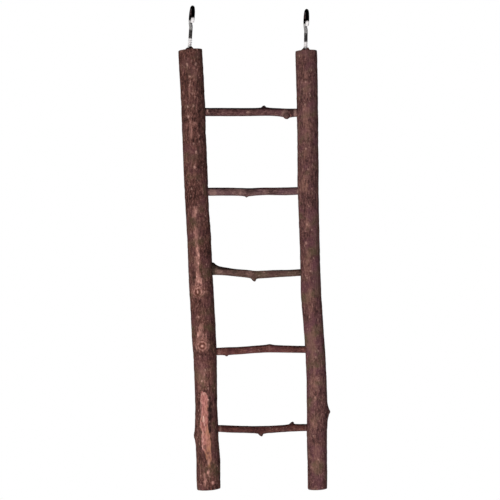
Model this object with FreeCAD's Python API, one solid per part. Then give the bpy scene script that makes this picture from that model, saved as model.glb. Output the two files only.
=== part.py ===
import FreeCAD, Part
import math
import os

Vector = FreeCAD.Vector

# Sizes are in millimetres and angles in degrees.
# X runs to the right, Y to the back and Z up, as the ladder hangs with its front towards the viewer.
# The origin is halfway between the two crowns, where the hooks hang on a level wire along X.

# Hanging hooks, bent from round wire
hook_spacing = 62.8
hook_level_step = 1.9
wire_radius = 1.0
ring_inner_radius = 4.05
ring_lead = 0.8
neck_bend_radius = 2.0
tip_droop = 43.0
tip_chamfer = 0.3
plain_shank_length = 5.2
thread_radius = 1.2
thread_length = 18.0
thread_point_length = 2.6
thread_run_out = 0.5
point_radius = 0.15
neck_bands = 5
ring_bands = 20
wire_sides = 16
left_hook_lean = 3.7
left_hook_turn = 10.0
left_hook_stand_out = 18.45
right_hook_lean = 1.0
right_hook_turn = 5.0
right_hook_stand_out = 16.95

# Pilot bores for the hooks, and the burr of wood that each screw raises
thread_clearance = 0.05
pilot_end_gap = 1.0
burr_radius = 2.9
burr_height = 1.7
burr_wall = 0.25
burr_flank_width = 0.5
burr_flank_height = 0.6
burr_sides = 11

# Rails, two natural branches
left_rail_length = 241.4
left_rail_lean = 2.4
left_rail_off_hook = 0.4
left_rail_top_skew = 2.5
left_rail_foot_skew = 1.5
right_rail_length = 240.8
right_rail_lean = 1.47
right_rail_off_hook = 0.3
right_rail_top_skew = 1.2
right_rail_foot_skew = 1.5

# Rungs, five twigs with tenoned ends
first_rung_drop = 55.6
rung_pitch = 43.6
tenon_radius = 1.55
tenon_root_length = 1.0
glue_clearance = 0.05
socket_depth = 7.0
socket_end_gap = 0.4
shoulder_clearance = 0.12

# Natural shape of all the wood
rail_oval = 0.015
rail_ribs = 0.012
rail_rib_count = 5
twig_oval = 0.03
twig_ribs = 0.02
twig_rib_count = 3
rib_twist = 70.0
rail_section_step = 0.0625
twig_section_step = 0.125
section_gap = 0.012
rail_section_sides = 24
twig_section_sides = 12
bud_sides = 8
stub_sides = 10

# Bends of each branch: share of its length, shift to its side, shift to the back.
# A rail's side is the right, counted from its top. A rung's side is up, counted from its left end.
left_rail_bends = [
    (0.00, 0.0, 0.0), (0.13, 0.35, 0.3), (0.20, 0.2, 0.3), (0.34, 0.25, 0.5), (0.46, 0.65, 0.3),
    (0.55, 0.7, 0.0), (0.61, 1.1, -0.2), (0.66, 1.0, -0.3), (0.71, 1.3, -0.3), (0.76, 1.05, -0.2),
    (0.82, 0.6, 0.0), (0.88, 0.4, 0.2), (0.95, 0.45, 0.1), (1.00, 0.0, 0.0),
]
right_rail_bends = [
    (0.00, 0.0, 0.0), (0.11, -0.1, -0.2), (0.22, -0.45, -0.3), (0.33, -0.8, 0.0), (0.44, -0.7, 0.3),
    (0.56, -0.7, 0.5), (0.60, -0.15, 0.5), (0.65, 0.45, 0.4), (0.71, 1.0, 0.3), (0.80, 1.0, 0.1),
    (0.88, 0.45, 0.0), (0.95, 0.2, 0.0), (1.00, 0.0, 0.0),
]

# Girths of each rail: share of its length, radius
left_rail_girths = [
    (0.00, 6.5), (0.17, 6.43), (0.46, 6.43), (0.53, 6.6), (0.60, 6.5), (0.645, 6.65), (0.70, 6.35),
    (0.75, 6.25), (0.81, 6.05), (0.86, 6.35), (0.91, 6.2), (0.955, 6.85), (1.00, 6.5),
]
right_rail_girths = [
    (0.00, 5.8), (0.28, 5.7), (0.39, 5.5), (0.46, 5.38), (0.56, 5.55), (0.62, 5.36), (0.80, 5.5),
    (0.88, 5.5), (0.91, 5.45), (1.00, 5.42),
]

# Knots: share of the length, angle round the branch, height, half length, half width in degrees.
# The angle starts at the branch's side and turns to the back, so the front of the ladder is at 270.
left_rail_knots = [
    (0.55, 255.0, 0.4, 5.0, 28.0), (0.675, 261.0, 0.35, 4.0, 30.0), (0.878, 180.0, 1.3, 3.0, 42.0),
    (0.415, 0.0, 0.4, 4.5, 36.0),
]
right_rail_knots = [(0.826, 0.0, 2.05, 2.6, 34.0), (0.30, 200.0, 0.3, 5.0, 40.0)]

# Healed knot eyes on the left rail's front: share of the length, angle
left_rail_eyes = [(0.55, 255.0), (0.675, 261.0)]
eye_base_radius = 3.0
eye_rim_radius = 2.1
eye_height = 0.35
eye_dish_radius = 1.5
eye_dish_depth = 0.4
eye_button_radius = 0.8
eye_sides = 12

# The long slice that took the bark off the left rail's front
slice_share = 0.872
slice_angle = 268.0
slice_depth = 0.55
slice_length = 44.0

# The rungs from the top down. Lifts are above the even pitch, and the ends take the radius of each side.
rung_shapes = [
    {
        "left_lift": 0.1, "right_lift": -0.2,
        "bends": [(0.0, 0.0, 0.0), (0.3, 0.05, 0.25), (0.55, 0.2, 0.4), (0.65, 0.35, 0.35), (0.75, 0.27, 0.2),
                  (0.82, 0.05, 0.1), (0.91, -0.3, -0.2), (1.0, 0.0, 0.0)],
        "girths": [(0.0, 2.2), (0.5, 2.18), (0.65, 2.15), (0.78, 2.15), (0.9, 2.35), (1.0, 2.2)],
        "knots": [(0.645, 0.0, 0.35, 1.6, 60.0), (0.878, 235.0, 0.45, 2.6, 60.0)],
        "buds": [(0.635, 0.0, 1.1, 1.4, 45.0)],
        "stubs": [(0.883, 228.0, 2.6, 1.75, 3.8)],
        "facets": [(1, 268.0, 2.0, 0.5), (0, 265.0, 1.0, 0.35)],
    },
    {
        "left_lift": -0.15, "right_lift": 0.35,
        "bends": [(0.0, 0.0, 0.0), (0.27, -0.13, -0.3), (0.45, -0.5, -0.5), (0.54, -0.25, -0.4),
                  (0.63, -0.1, -0.3), (0.85, -0.22, -0.15), (1.0, 0.0, 0.0)],
        "girths": [(0.0, 2.16), (0.4, 2.12), (0.5, 2.08), (0.62, 2.0), (0.85, 2.14), (1.0, 2.15)],
        "knots": [(0.435, 180.0, 0.3, 1.5, 60.0)],
        "buds": [(0.43, 180.0, 0.75, 0.7, 50.0)],
        "stubs": [],
        "facets": [(1, 215.0, 1.4, 0.45), (0, 300.0, 1.2, 0.3)],
    },
    {
        "left_lift": -0.15, "right_lift": -0.9,
        "bends": [(0.0, 0.0, 0.0), (0.09, 0.1, 0.1), (0.23, -0.6, 0.4), (0.365, -1.3, 0.6), (0.48, -1.7, 0.6),
                  (0.59, -1.65, 0.5), (0.73, -1.05, 0.3), (0.86, -0.6, 0.1), (1.0, 0.0, 0.0)],
        "girths": [(0.0, 2.2), (0.12, 2.15), (0.25, 2.0), (0.55, 1.98), (0.8, 1.88), (1.0, 1.87)],
        "knots": [(0.0, 5.0, 3.2, 2.1, 42.0), (0.48, 180.0, 0.4, 1.6, 55.0)],
        "buds": [(0.47, 180.0, 1.25, 2.1, 30.0), (0.055, 330.0, 1.1, 1.1, -20.0)],
        "stubs": [],
        "facets": [(1, 275.0, 1.2, 0.3)],
    },
    {
        "left_lift": -0.8, "right_lift": 0.3,
        "bends": [(0.0, 0.0, 0.0), (0.12, 0.1, -0.2), (0.27, 0.2, -0.4), (0.45, 0.8, -0.6), (0.58, 1.1, -0.6),
                  (0.67, 0.76, -0.5), (0.94, 0.12, -0.1), (1.0, 0.0, 0.0)],
        "girths": [(0.0, 1.97), (0.5, 2.0), (0.8, 1.95), (1.0, 1.97)],
        "knots": [(0.6, 0.0, 0.5, 1.6, 60.0), (0.12, 180.0, 0.3, 1.5, 60.0)],
        "buds": [(0.115, 180.0, 0.75, 0.95, 45.0)],
        "stubs": [],
        "facets": [(0, 280.0, 1.2, 0.3), (1, 262.0, 1.0, 0.3)],
    },
    {
        "left_lift": 0.45, "right_lift": 1.0,
        "bends": [(0.0, 0.0, 0.0), (0.12, -0.4, 0.1), (0.25, -0.7, 0.3), (0.385, -1.0, 0.4),
                  (0.56, -1.05, 0.3), (0.7, -0.6, 0.1), (0.79, -0.25, -0.1), (0.95, 0.0, -0.1),
                  (1.0, 0.0, 0.0)],
        "girths": [(0.0, 1.85), (0.4, 1.87), (0.7, 1.9), (1.0, 1.95)],
        "knots": [(0.49, 180.0, 0.35, 1.6, 60.0), (0.83, 0.0, 0.3, 1.5, 60.0)],
        "buds": [(0.475, 180.0, 1.15, 2.0, 34.0), (0.82, 0.0, 1.0, 2.0, 40.0)],
        "stubs": [],
        "facets": [(0, 262.0, 2.0, 0.4), (0, 345.0, 1.6, 0.3), (0, 190.0, 1.5, 0.3), (1, 270.0, 1.0, 0.25)],
    },
]


def smooth_value(stations, share, column):
    """Runs a smooth curve through one column of the stations and reads it at a share of the length."""
    shares = [station[0] for station in stations]
    values = [station[column] for station in stations]
    last = len(stations) - 1
    share = min(max(share, shares[0]), shares[last])
    left = max(index for index in range(last) if shares[index] <= share)
    right = left + 1
    before = max(left - 1, 0)
    after = min(right + 1, last)
    span = shares[right] - shares[left]
    left_slope = (values[right] - values[before]) / (shares[right] - shares[before]) * span
    right_slope = (values[after] - values[left]) / (shares[after] - shares[left]) * span
    t = (share - shares[left]) / span
    return (
        (2 * t**3 - 3 * t**2 + 1) * values[left]
        + (t**3 - 2 * t**2 + t) * left_slope
        + (3 * t**2 - 2 * t**3) * values[right]
        + (t**3 - t**2) * right_slope
    )


def angle_between(first, second):
    """Gives the smallest turn between two directions round a branch."""
    return abs((first - second + 180.0) % 360.0 - 180.0)


class Branch:
    """A crooked, knotty stick between two points, with its own bends, girths and knots."""

    def __init__(self, start, end, side, bends, girths, knots, oval, ribs, rib_count):
        self.start = start
        self.length = (end - start).Length
        self.along = (end - start).normalize()
        self.back = Vector(0, 1, 0)
        self.back = (self.back - self.along * self.back.dot(self.along)).normalize()
        self.side = self.back.cross(self.along)
        if self.side.dot(side) < 0:
            self.side = self.side * -1
        self.bends = bends
        self.girths = girths
        self.knots = knots
        self.oval = oval
        self.ribs = ribs
        self.rib_count = rib_count

    def axis_point(self, share):
        """Gives the middle of the branch at a share of its length."""
        sideways = self.side * smooth_value(self.bends, share, 1)
        backwards = self.back * smooth_value(self.bends, share, 2)
        return self.start + self.along * (self.length * share) + sideways + backwards

    def outward(self, angle):
        """Gives the direction straight out of the branch at an angle round it."""
        turn = math.radians(angle)
        return self.side * math.cos(turn) + self.back * math.sin(turn)

    def radius(self, share, angle):
        """Gives the distance from the middle to the bark, knots and ribs included."""
        twisted = math.radians(angle + rib_twist * share)
        shape = 1.0 + self.oval * math.cos(2 * twisted) + self.ribs * math.cos(self.rib_count * twisted)
        radius = smooth_value(self.girths, share, 1) * shape
        for knot_share, knot_angle, height, half_length, half_width in self.knots:
            distance = (share - knot_share) * self.length / half_length
            turn = angle_between(angle, knot_angle) / half_width
            radius += height * math.exp(-(distance**2) - turn**2)
        return radius

    def bark_point(self, share, angle):
        """Gives a point of the bark."""
        return self.axis_point(share) + self.outward(angle) * self.radius(share, angle)

    def share_at_height(self, height):
        """Finds the share of the length at which the branch's middle passes a height."""
        low = 0.0
        high = 1.0
        for _ in range(40):
            middle = (low + high) / 2
            if self.axis_point(middle).z > height:
                low = middle
            else:
                high = middle
        return (low + high) / 2

    def section_shares(self, step):
        """Spaces the sections evenly and adds some at each knot."""
        count = round(1 / step)
        wanted = [index / count for index in range(count + 1)]
        for knot_share, _, _, half_length, _ in self.knots:
            reach = half_length / self.length
            wanted += [knot_share + reach * part for part in (-1.3, -0.6, 0.0, 0.6, 1.3)]
        kept = [0.0]
        for share in sorted(wanted):
            if share > kept[-1] + section_gap and share < 1.0 - section_gap:
                kept.append(share)
        return kept + [1.0]

    def section(self, share, sides, skew):
        """Draws one closed section with flat sides, tilted by its skew towards the branch's side."""
        slope = math.tan(math.radians(skew))
        middle = self.axis_point(share)
        outline = []
        for index in range(sides):
            reach = self.bark_point(share, 360.0 * index / sides) - middle
            outline.append(middle + reach - self.along * (reach.dot(self.side) * slope))
        return Part.makePolygon(outline + outline[:1])

    def solid(self, step, sides, start_skew=0.0, end_skew=0.0):
        """Lofts the bark from section to section in straight bands and closes both ends flat."""
        sections = []
        for share in self.section_shares(step):
            skew = 0.0
            if share == 0.0:
                skew = start_skew
            if share == 1.0:
                skew = end_skew
            sections.append(self.section(share, sides, skew))
        return Part.makeLoft(sections, True, True)


class Hook:
    """A screw hook whose crown hangs at a given point, leaning to the right and turned about its shank."""

    def __init__(self, crown, lean, turn, stand_out):
        self.axis = Vector(math.sin(math.radians(lean)), 0, math.cos(math.radians(lean)))
        self.ring_centre = crown - self.axis * ring_inner_radius
        self.base = self.ring_centre - self.axis * stand_out
        self.stand_out = stand_out
        self.lean = lean
        self.turn = turn

    def place(self, shape):
        """Moves a shape from the hook's own frame, with Z along the shank, to the ladder."""
        turn = FreeCAD.Rotation(Vector(0, 0, 1), self.turn)
        lean = FreeCAD.Rotation(Vector(0, 1, 0), self.lean)
        placed = shape.copy()
        placed.Placement = FreeCAD.Placement(self.ring_centre, lean.multiply(turn))
        return placed


def neck_height():
    """Gives how far below the ring's centre the straight shank ends, so that the bends run on smoothly."""
    ring_radius = ring_inner_radius + wire_radius
    return math.sqrt((ring_radius + neck_bend_radius) ** 2 - (neck_bend_radius + ring_lead) ** 2)


def thread_top():
    """Gives how far below the ring's centre the thread begins."""
    return neck_height() + plain_shank_length


def wire_section(middle, tilt, radius):
    """Draws the wire's many-sided section at a point, with the wire tilted from upright to the back."""
    corners = []
    for index in range(wire_sides):
        turn = 2 * math.pi * index / wire_sides
        corners.append(Vector(radius * math.cos(turn), radius * math.sin(turn), 0))
    outline = Part.makePolygon(corners + corners[:1])
    outline.Placement = FreeCAD.Placement(middle, FreeCAD.Rotation(Vector(1, 0, 0), -tilt))
    return outline


def screw_hook():
    """Makes one hook in its own frame: the ring's centre at the height of the origin, the front at -Y."""
    ring_radius = ring_inner_radius + wire_radius
    bend_turn = math.degrees(math.asin((neck_bend_radius + ring_lead) / (ring_radius + neck_bend_radius)))
    bend_turn = 90.0 - bend_turn
    ring_centre = Vector(0, -ring_lead, 0)
    bend_centre = Vector(0, neck_bend_radius, -neck_height())
    thread_foot = thread_top() + thread_length - thread_point_length
    sections = [
        wire_section(Vector(0, 0, -thread_foot - thread_point_length), 0.0, point_radius),
        wire_section(Vector(0, 0, -thread_foot), 0.0, thread_radius),
        wire_section(Vector(0, 0, -thread_top() - thread_run_out), 0.0, thread_radius),
        wire_section(Vector(0, 0, -thread_top()), 0.0, wire_radius),
    ]
    for step in range(neck_bands + 1):
        turn = bend_turn * step / neck_bands
        arm = Vector(0, -math.cos(math.radians(turn)), math.sin(math.radians(turn)))
        sections.append(wire_section(bend_centre + arm * neck_bend_radius, turn, wire_radius))
    for step in range(1, ring_bands + 1):
        angle = -bend_turn + (bend_turn + 180.0 + tip_droop) * step / ring_bands
        arm = Vector(0, math.cos(math.radians(angle)), math.sin(math.radians(angle)))
        sections.append(wire_section(ring_centre + arm * ring_radius, -angle, wire_radius))
    tip = ring_centre + arm * ring_radius
    ahead = Vector(0, -math.sin(math.radians(angle)), math.cos(math.radians(angle)))
    sections.append(wire_section(tip + ahead * tip_chamfer, -angle, wire_radius - tip_chamfer))
    return Part.makeLoft(sections, True, True)


def flat_sided_peg(foot, direction, rings, sides):
    """Lofts a many-sided peg along a direction, through rings given as distance and radius."""
    sections = []
    for distance, radius in rings:
        corners = []
        for index in range(sides):
            turn = 2 * math.pi * index / sides
            corners.append(Vector(radius * math.cos(turn), radius * math.sin(turn), distance))
        sections.append(Part.makePolygon(corners + corners[:1]))
    peg = Part.makeLoft(sections, True, True)
    peg.Placement = FreeCAD.Placement(foot, FreeCAD.Rotation(Vector(0, 0, 1), direction))
    return peg


def pilot_bore(hook):
    """Makes the bore that the hook's thread sits in, open at the top of the rail."""
    foot = -thread_top() - thread_length - pilot_end_gap
    top = -hook.stand_out + burr_height + 1.0
    radius = thread_radius + thread_clearance
    return hook.place(Part.makeCylinder(radius, top - foot, Vector(0, 0, foot), Vector(0, 0, 1)))


def wood_burr(hook):
    """Makes the low mound of torn wood round the hook, with a hollow flank."""
    rim = thread_radius + burr_wall
    rings = [
        (-burr_height, burr_radius),
        (0.0, burr_radius),
        (burr_flank_height, rim + burr_flank_width),
        (burr_height, rim),
    ]
    return flat_sided_peg(hook.base, hook.axis, rings, burr_sides)


def make_rail_branch(hook, length, lean, off_hook, bends, girths, knots):
    """Hangs a rail's branch under its hook, with the foot swung to the right by its lean."""
    top = hook.base + Vector(off_hook, 0, 0)
    swing = math.radians(lean)
    foot = top + Vector(math.sin(swing), 0, -math.cos(swing)) * length
    return Branch(top, foot, Vector(1, 0, 0), bends, girths, knots, rail_oval, rail_ribs, rail_rib_count)


def face_towards(branch, height, reach, direction):
    """Finds how far in X a rail's bark stands out, over the height that a rung's shoulder covers."""
    stand_outs = []
    for step in (-1.0, -0.5, 0.0, 0.5, 1.0):
        share = branch.share_at_height(height + reach * step)
        for turn in (-16.0, 0.0, 16.0):
            angle = turn if direction > 0 else 180.0 + turn
            stand_outs.append(branch.bark_point(share, angle).x * direction)
    return max(stand_outs) * direction


def make_rung_branch(index, shape, left_branch, right_branch):
    """Spans one twig between the rails' inner faces, shoulder to shoulder."""
    level = -first_rung_drop - index * rung_pitch
    left_level = level + shape["left_lift"]
    right_level = level + shape["right_lift"]
    left_reach = shape["girths"][0][1]
    right_reach = shape["girths"][-1][1]
    left_x = face_towards(left_branch, left_level, left_reach, 1) + shoulder_clearance
    right_x = face_towards(right_branch, right_level, right_reach, -1) - shoulder_clearance
    left_y = left_branch.axis_point(left_branch.share_at_height(left_level)).y
    right_y = right_branch.axis_point(right_branch.share_at_height(right_level)).y
    start = Vector(left_x, left_y, left_level)
    end = Vector(right_x, right_y, right_level)
    return Branch(
        start, end, Vector(0, 0, 1), shape["bends"], shape["girths"], shape["knots"], twig_oval, twig_ribs,
        twig_rib_count,
    )


def both_ends(branch):
    """Lists each end of a rung with the direction into its rail."""
    start = branch.axis_point(0.0)
    end = branch.axis_point(1.0)
    return [(start, branch.along * -1), (end, branch.along)]


def tenons(branch):
    """Makes the round ends that are glued in the rails."""
    length = socket_depth - socket_end_gap
    made = []
    for point, inwards in both_ends(branch):
        start = point - inwards * tenon_root_length
        made.append(Part.makeCylinder(tenon_radius, length + tenon_root_length, start, inwards))
    return made


def sockets(branch, end):
    """Makes the blind hole that the rung's tenon sits in at one end."""
    point, inwards = both_ends(branch)[end]
    start = point - inwards * (shoulder_clearance + tenon_root_length)
    length = socket_depth + shoulder_clearance + tenon_root_length
    return Part.makeCylinder(tenon_radius + glue_clearance, length, start, inwards)


def bud(branch, share, angle, radius, length, lean):
    """Makes a pointed bud that stands on the bark and leans along the twig."""
    tilt = math.radians(lean)
    direction = branch.outward(angle) * math.cos(tilt) + branch.along * math.sin(tilt)
    rings = [(-radius, radius * 0.8), (0.0, radius), (length * 0.55, radius * 0.7), (length, radius * 0.12)]
    return flat_sided_peg(branch.bark_point(share, angle), direction, rings, bud_sides)


def pruned_stub(branch, share, angle, base_radius, end_radius, length):
    """Makes the stub of a side shoot that was cut off square."""
    rings = [(0.0, base_radius), (length, end_radius)]
    return flat_sided_peg(branch.axis_point(share), branch.outward(angle), rings, stub_sides)


def knife_facet(branch, end, angle, length, depth):
    """Makes the wedge that one knife stroke takes off a rung's end beside its tenon."""
    share = float(end)
    point, inwards = both_ends(branch)[end]
    outward = branch.outward(angle)
    radius = branch.radius(share, angle)
    overshoot = 1.0
    run = inwards * overshoot - outward * (depth / length * overshoot)
    low = point + outward * (radius - depth) + run
    high = point + outward * radius - inwards * length
    far = high + (high - low)
    corner = low + outward * (3 * depth + 4 * overshoot)
    across = inwards.cross(outward) * (radius * 2)
    face = Part.Face(Part.makePolygon([low, far, corner, low]))
    wedge = face.extrude(across * 2)
    wedge.translate(across * -1)
    return wedge


def make_rung(branch, shape):
    """Builds one rung: the twig, its buds, pruned shoots and tenons, with the knife facets cut."""
    growths = [bud(branch, *values) for values in shape["buds"]]
    growths += [pruned_stub(branch, *values) for values in shape["stubs"]]
    solid = branch.solid(twig_section_step, twig_section_sides).fuse(growths)
    for values in shape["facets"]:
        solid = solid.cut(knife_facet(branch, *values))
    return solid.fuse(tenons(branch))


def eye_collar(branch, share, angle):
    """Makes the swollen collar that has healed round an old knot."""
    rings = [(-eye_height, eye_base_radius), (eye_height, eye_rim_radius)]
    return flat_sided_peg(branch.bark_point(share, angle), branch.outward(angle), rings, eye_sides)


def eye_dish(branch, share, angle):
    """Makes the sunken middle that is cut out of the collar."""
    rings = [(eye_height - eye_dish_depth, eye_dish_radius * 0.75), (2 * eye_height, eye_dish_radius * 1.2)]
    return flat_sided_peg(branch.bark_point(share, angle), branch.outward(angle), rings, eye_sides)


def eye_button(branch, share, angle):
    """Makes the dead knot that still stands in the middle of the dish."""
    rings = [(-eye_height, eye_button_radius), (eye_height * 0.6, eye_button_radius * 0.6)]
    return flat_sided_peg(branch.bark_point(share, angle), branch.outward(angle), rings, eye_sides)


def bark_slice(branch, share, angle, depth, length):
    """Makes the wide flat disc whose rim takes a long leaf-shaped slice off the bark."""
    disc_radius = (length / 2) ** 2 / (2 * depth) + depth / 2
    outward = branch.outward(angle)
    across = outward.cross(branch.along)
    centre = branch.bark_point(share, angle) + outward * (disc_radius - depth)
    half_width = branch.radius(share, angle)
    return Part.makeCylinder(disc_radius, 2 * half_width, centre - across * half_width, across)


def make_rail(branch, hook, top_skew, foot_skew, eyes, slices, holes):
    """Builds one rail: the branch with its burr, eyes and slices, and the holes drilled in it."""
    solid = branch.solid(rail_section_step, rail_section_sides, top_skew, foot_skew)
    solid = solid.fuse([wood_burr(hook)] + [eye_collar(branch, *values) for values in eyes])
    for values in eyes:
        solid = solid.cut(eye_dish(branch, *values)).fuse(eye_button(branch, *values))
    return solid.cut([pilot_bore(hook)] + slices + holes)


def save(shape, node):
    """Writes one node's STEP file."""
    shape.exportStep("parts/" + node + ".step")
    print(node, "solids", len(shape.Solids), "volume", round(shape.Volume, 1), "valid", shape.isValid())


os.makedirs("parts", exist_ok=True)

left_crown = Vector(-hook_spacing / 2, 0, hook_level_step / 2)
right_crown = Vector(hook_spacing / 2, 0, -hook_level_step / 2)
left_hook = Hook(left_crown, left_hook_lean, left_hook_turn, left_hook_stand_out)
right_hook = Hook(right_crown, right_hook_lean, right_hook_turn, right_hook_stand_out)

left_branch = make_rail_branch(
    left_hook, left_rail_length, left_rail_lean, left_rail_off_hook, left_rail_bends, left_rail_girths,
    left_rail_knots,
)
right_branch = make_rail_branch(
    right_hook, right_rail_length, right_rail_lean, right_rail_off_hook, right_rail_bends, right_rail_girths,
    right_rail_knots,
)

left_holes = []
right_holes = []
for number, rung_shape in enumerate(rung_shapes):
    rung_branch = make_rung_branch(number, rung_shape, left_branch, right_branch)
    save(make_rung(rung_branch, rung_shape), "rung_" + str(number + 1))
    left_holes.append(sockets(rung_branch, 0))
    right_holes.append(sockets(rung_branch, 1))

front_slice = bark_slice(left_branch, slice_share, slice_angle, slice_depth, slice_length)
left_rail = make_rail(
    left_branch, left_hook, left_rail_top_skew, left_rail_foot_skew, left_rail_eyes, [front_slice],
    left_holes,
)
right_rail = make_rail(
    right_branch, right_hook, right_rail_top_skew, right_rail_foot_skew, [], [], right_holes,
)
save(left_rail, "left_rail")
save(right_rail, "right_rail")

save(left_hook.place(screw_hook()), "left_hook")
save(right_hook.place(screw_hook()), "right_hook")
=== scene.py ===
# %% [markdown]
# # A hanging ladder for a bird
# Two branches with the bark on are the rails, and five twigs are the rungs. A plated screw hook is
# turned into the top of each rail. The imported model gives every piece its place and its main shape,
# so the lesson starts by loading it and by noting how big it is. Nothing here changes that size.

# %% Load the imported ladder
import math
import random

import bmesh
import bpy
import numpy as np
from mathutils import Matrix, Vector, kdtree, noise
from mathutils.bvhtree import BVHTree


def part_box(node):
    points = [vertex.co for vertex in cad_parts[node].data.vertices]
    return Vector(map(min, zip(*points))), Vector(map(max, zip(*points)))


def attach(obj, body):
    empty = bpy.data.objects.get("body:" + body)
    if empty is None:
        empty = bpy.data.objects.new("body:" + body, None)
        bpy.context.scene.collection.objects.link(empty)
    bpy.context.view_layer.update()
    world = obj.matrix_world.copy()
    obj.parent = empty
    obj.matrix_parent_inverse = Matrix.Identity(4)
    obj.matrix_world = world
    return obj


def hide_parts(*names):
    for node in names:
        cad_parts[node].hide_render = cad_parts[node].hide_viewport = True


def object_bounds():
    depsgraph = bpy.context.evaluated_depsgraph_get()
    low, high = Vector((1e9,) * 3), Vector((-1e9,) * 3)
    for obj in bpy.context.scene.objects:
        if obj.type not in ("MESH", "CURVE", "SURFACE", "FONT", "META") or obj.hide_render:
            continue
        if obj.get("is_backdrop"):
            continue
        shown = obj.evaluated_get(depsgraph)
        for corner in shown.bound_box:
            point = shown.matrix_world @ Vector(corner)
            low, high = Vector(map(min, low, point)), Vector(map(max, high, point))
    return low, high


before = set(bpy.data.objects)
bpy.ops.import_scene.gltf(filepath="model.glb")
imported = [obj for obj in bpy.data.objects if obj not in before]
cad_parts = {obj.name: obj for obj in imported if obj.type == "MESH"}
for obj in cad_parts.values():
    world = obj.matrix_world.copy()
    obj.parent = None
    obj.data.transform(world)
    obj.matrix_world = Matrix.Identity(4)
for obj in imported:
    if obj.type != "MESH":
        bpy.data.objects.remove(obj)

MM = 0.001
cad_low, cad_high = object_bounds()
scene = bpy.context.scene
scene.view_settings.view_transform = "Standard"
print("ladder, mm:", [round(side / MM, 1) for side in cad_high - cad_low])

# %% [markdown]
# ## Camera
# The photograph was taken straight on, from far enough away that the sawn ends of the rails are
# seen edge-on. A long lens gives that calm perspective. One pixel of the square picture is 0.55 mm
# at the ladder, and that, with the angle of view, gives the distance.

# %% Camera
PICTURE_PIXELS = 500
PIXEL_MM = 0.55
VIEW_ANGLE = math.radians(18.92)
AIM_X_MM = 0.45
AIM_Z_MM = -131.4

camera_data = bpy.data.cameras.new("camera")
camera_data.angle = VIEW_ANGLE
camera = bpy.data.objects.new("camera", camera_data)
camera_distance = PICTURE_PIXELS * PIXEL_MM / 2 / math.tan(VIEW_ANGLE / 2)
camera.location = Vector((AIM_X_MM, -camera_distance, AIM_Z_MM)) * MM
camera.rotation_euler = (math.radians(90), 0, 0)
scene.collection.objects.link(camera)
scene.camera = camera
print("camera distance, mm:", round(camera_distance), "lens, mm:", round(camera_data.lens, 1))

# %% [markdown]
# ## Light
# The bark is lightest a little left of the middle of each rail and falls off to a dark right side,
# and the rungs are black along their tops. So the main lamp is a soft one, in front, to the left and
# low. A weak, cooler lamp fills from the right, and one behind keeps the back from going black.
# A large lamp and not a point keeps shadows soft.
# The lamps stay out of mirror-like reflections, where their square shapes would show on the hooks.

# %% Lamps
def soft_lamp(name, place, target, size, watts, colour):
    """Adds a square lamp that faces a target."""
    data = bpy.data.lights.new(name, "AREA")
    data.size = size
    data.energy = watts
    data.color = colour
    lamp = bpy.data.objects.new(name, data)
    lamp.location = place
    lamp.rotation_euler = (Vector(target) - Vector(place)).to_track_quat("-Z", "Y").to_euler()
    lamp.visible_glossy = False
    scene.collection.objects.link(lamp)
    return lamp


LADDER_MIDDLE = (0, 0, -0.13)
soft_lamp("main_lamp", (-0.4, -0.85, -0.44), LADDER_MIDDLE, size=0.4, watts=8.3, colour=(1.0, 0.965, 0.945))
soft_lamp("fill_lamp", (0.8, -0.62, -0.4), LADDER_MIDDLE, size=0.5, watts=1.35, colour=(0.9, 0.86, 1.0))
soft_lamp("back_lamp", (0.32, 0.92, -0.16), LADDER_MIDDLE, size=0.6, watts=7.0, colour=(0.95, 0.93, 1.0))

# %% [markdown]
# ## Helpers for shader nodes
# The studio, the floor and every finish are made of shader nodes. In the editor one adds a node,
# sets it and draws its links by hand. Each of these helpers does that in one line, so that the rest
# of the lesson reads as what is mixed with what.

# %% Node helpers
WHITE = (1, 1, 1, 1)


def add_node(tree, kind, inputs=None, **settings):
    """Adds one node, changes its settings, and links or sets its inputs."""
    made = tree.nodes.new("ShaderNode" + kind)
    for key, value in settings.items():
        setattr(made, key, value)
    for key, value in (inputs or {}).items():
        if isinstance(value, bpy.types.NodeSocket):
            tree.links.new(value, made.inputs[key])
        else:
            made.inputs[key].default_value = value
    return made


def sums(tree, operation, first, second, third=0.0, clamp=False):
    """Adds a math node and gives its result."""
    numbers = {0: first, 1: second, 2: third}
    return add_node(tree, "Math", numbers, operation=operation, use_clamp=clamp).outputs[0]


def spread(tree, value, low, high, to_low=0.0, to_high=1.0, kind="LINEAR"):
    """Stretches a value from one range to another and stops at its ends."""
    ends = {0: value, 1: low, 2: high, 3: to_low, 4: to_high}
    return add_node(tree, "MapRange", ends, interpolation_type=kind).outputs[0]


def mix_shaders(tree, share, first, second):
    """Mixes two shaders and gives the result."""
    return add_node(tree, "MixShader", {0: share, 1: first, 2: second}).outputs[0]


print("node helpers ready")

# %% [markdown]
# ## Background and floor
# The camera sees plain white all round. The bright plating of the hooks shows what surrounds it,
# so mirror-like rays see a studio that is white below and dark at eye level and overhead: that, with
# the reflections painted on the plating, makes the rings of the hooks black at the top and white
# lower down. The floor is a pale disc well below the ladder. It takes the shadow and fades into the
# white towards its rim.

# %% Studio world
AMBIENT_STRENGTH = 0.3
# Height of a direction, or how far it points away from the soft light, where the swing starts and
# ends, and the brightness at both ends
GLOSSY_SWING = (-0.2, -0.55, 0.006, 1.0)
AMBIENT_SWING = (-0.8, 0.9, 0.08, 1.0)
AMBIENT_FROM = (-0.25, -0.62, -0.74)

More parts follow.
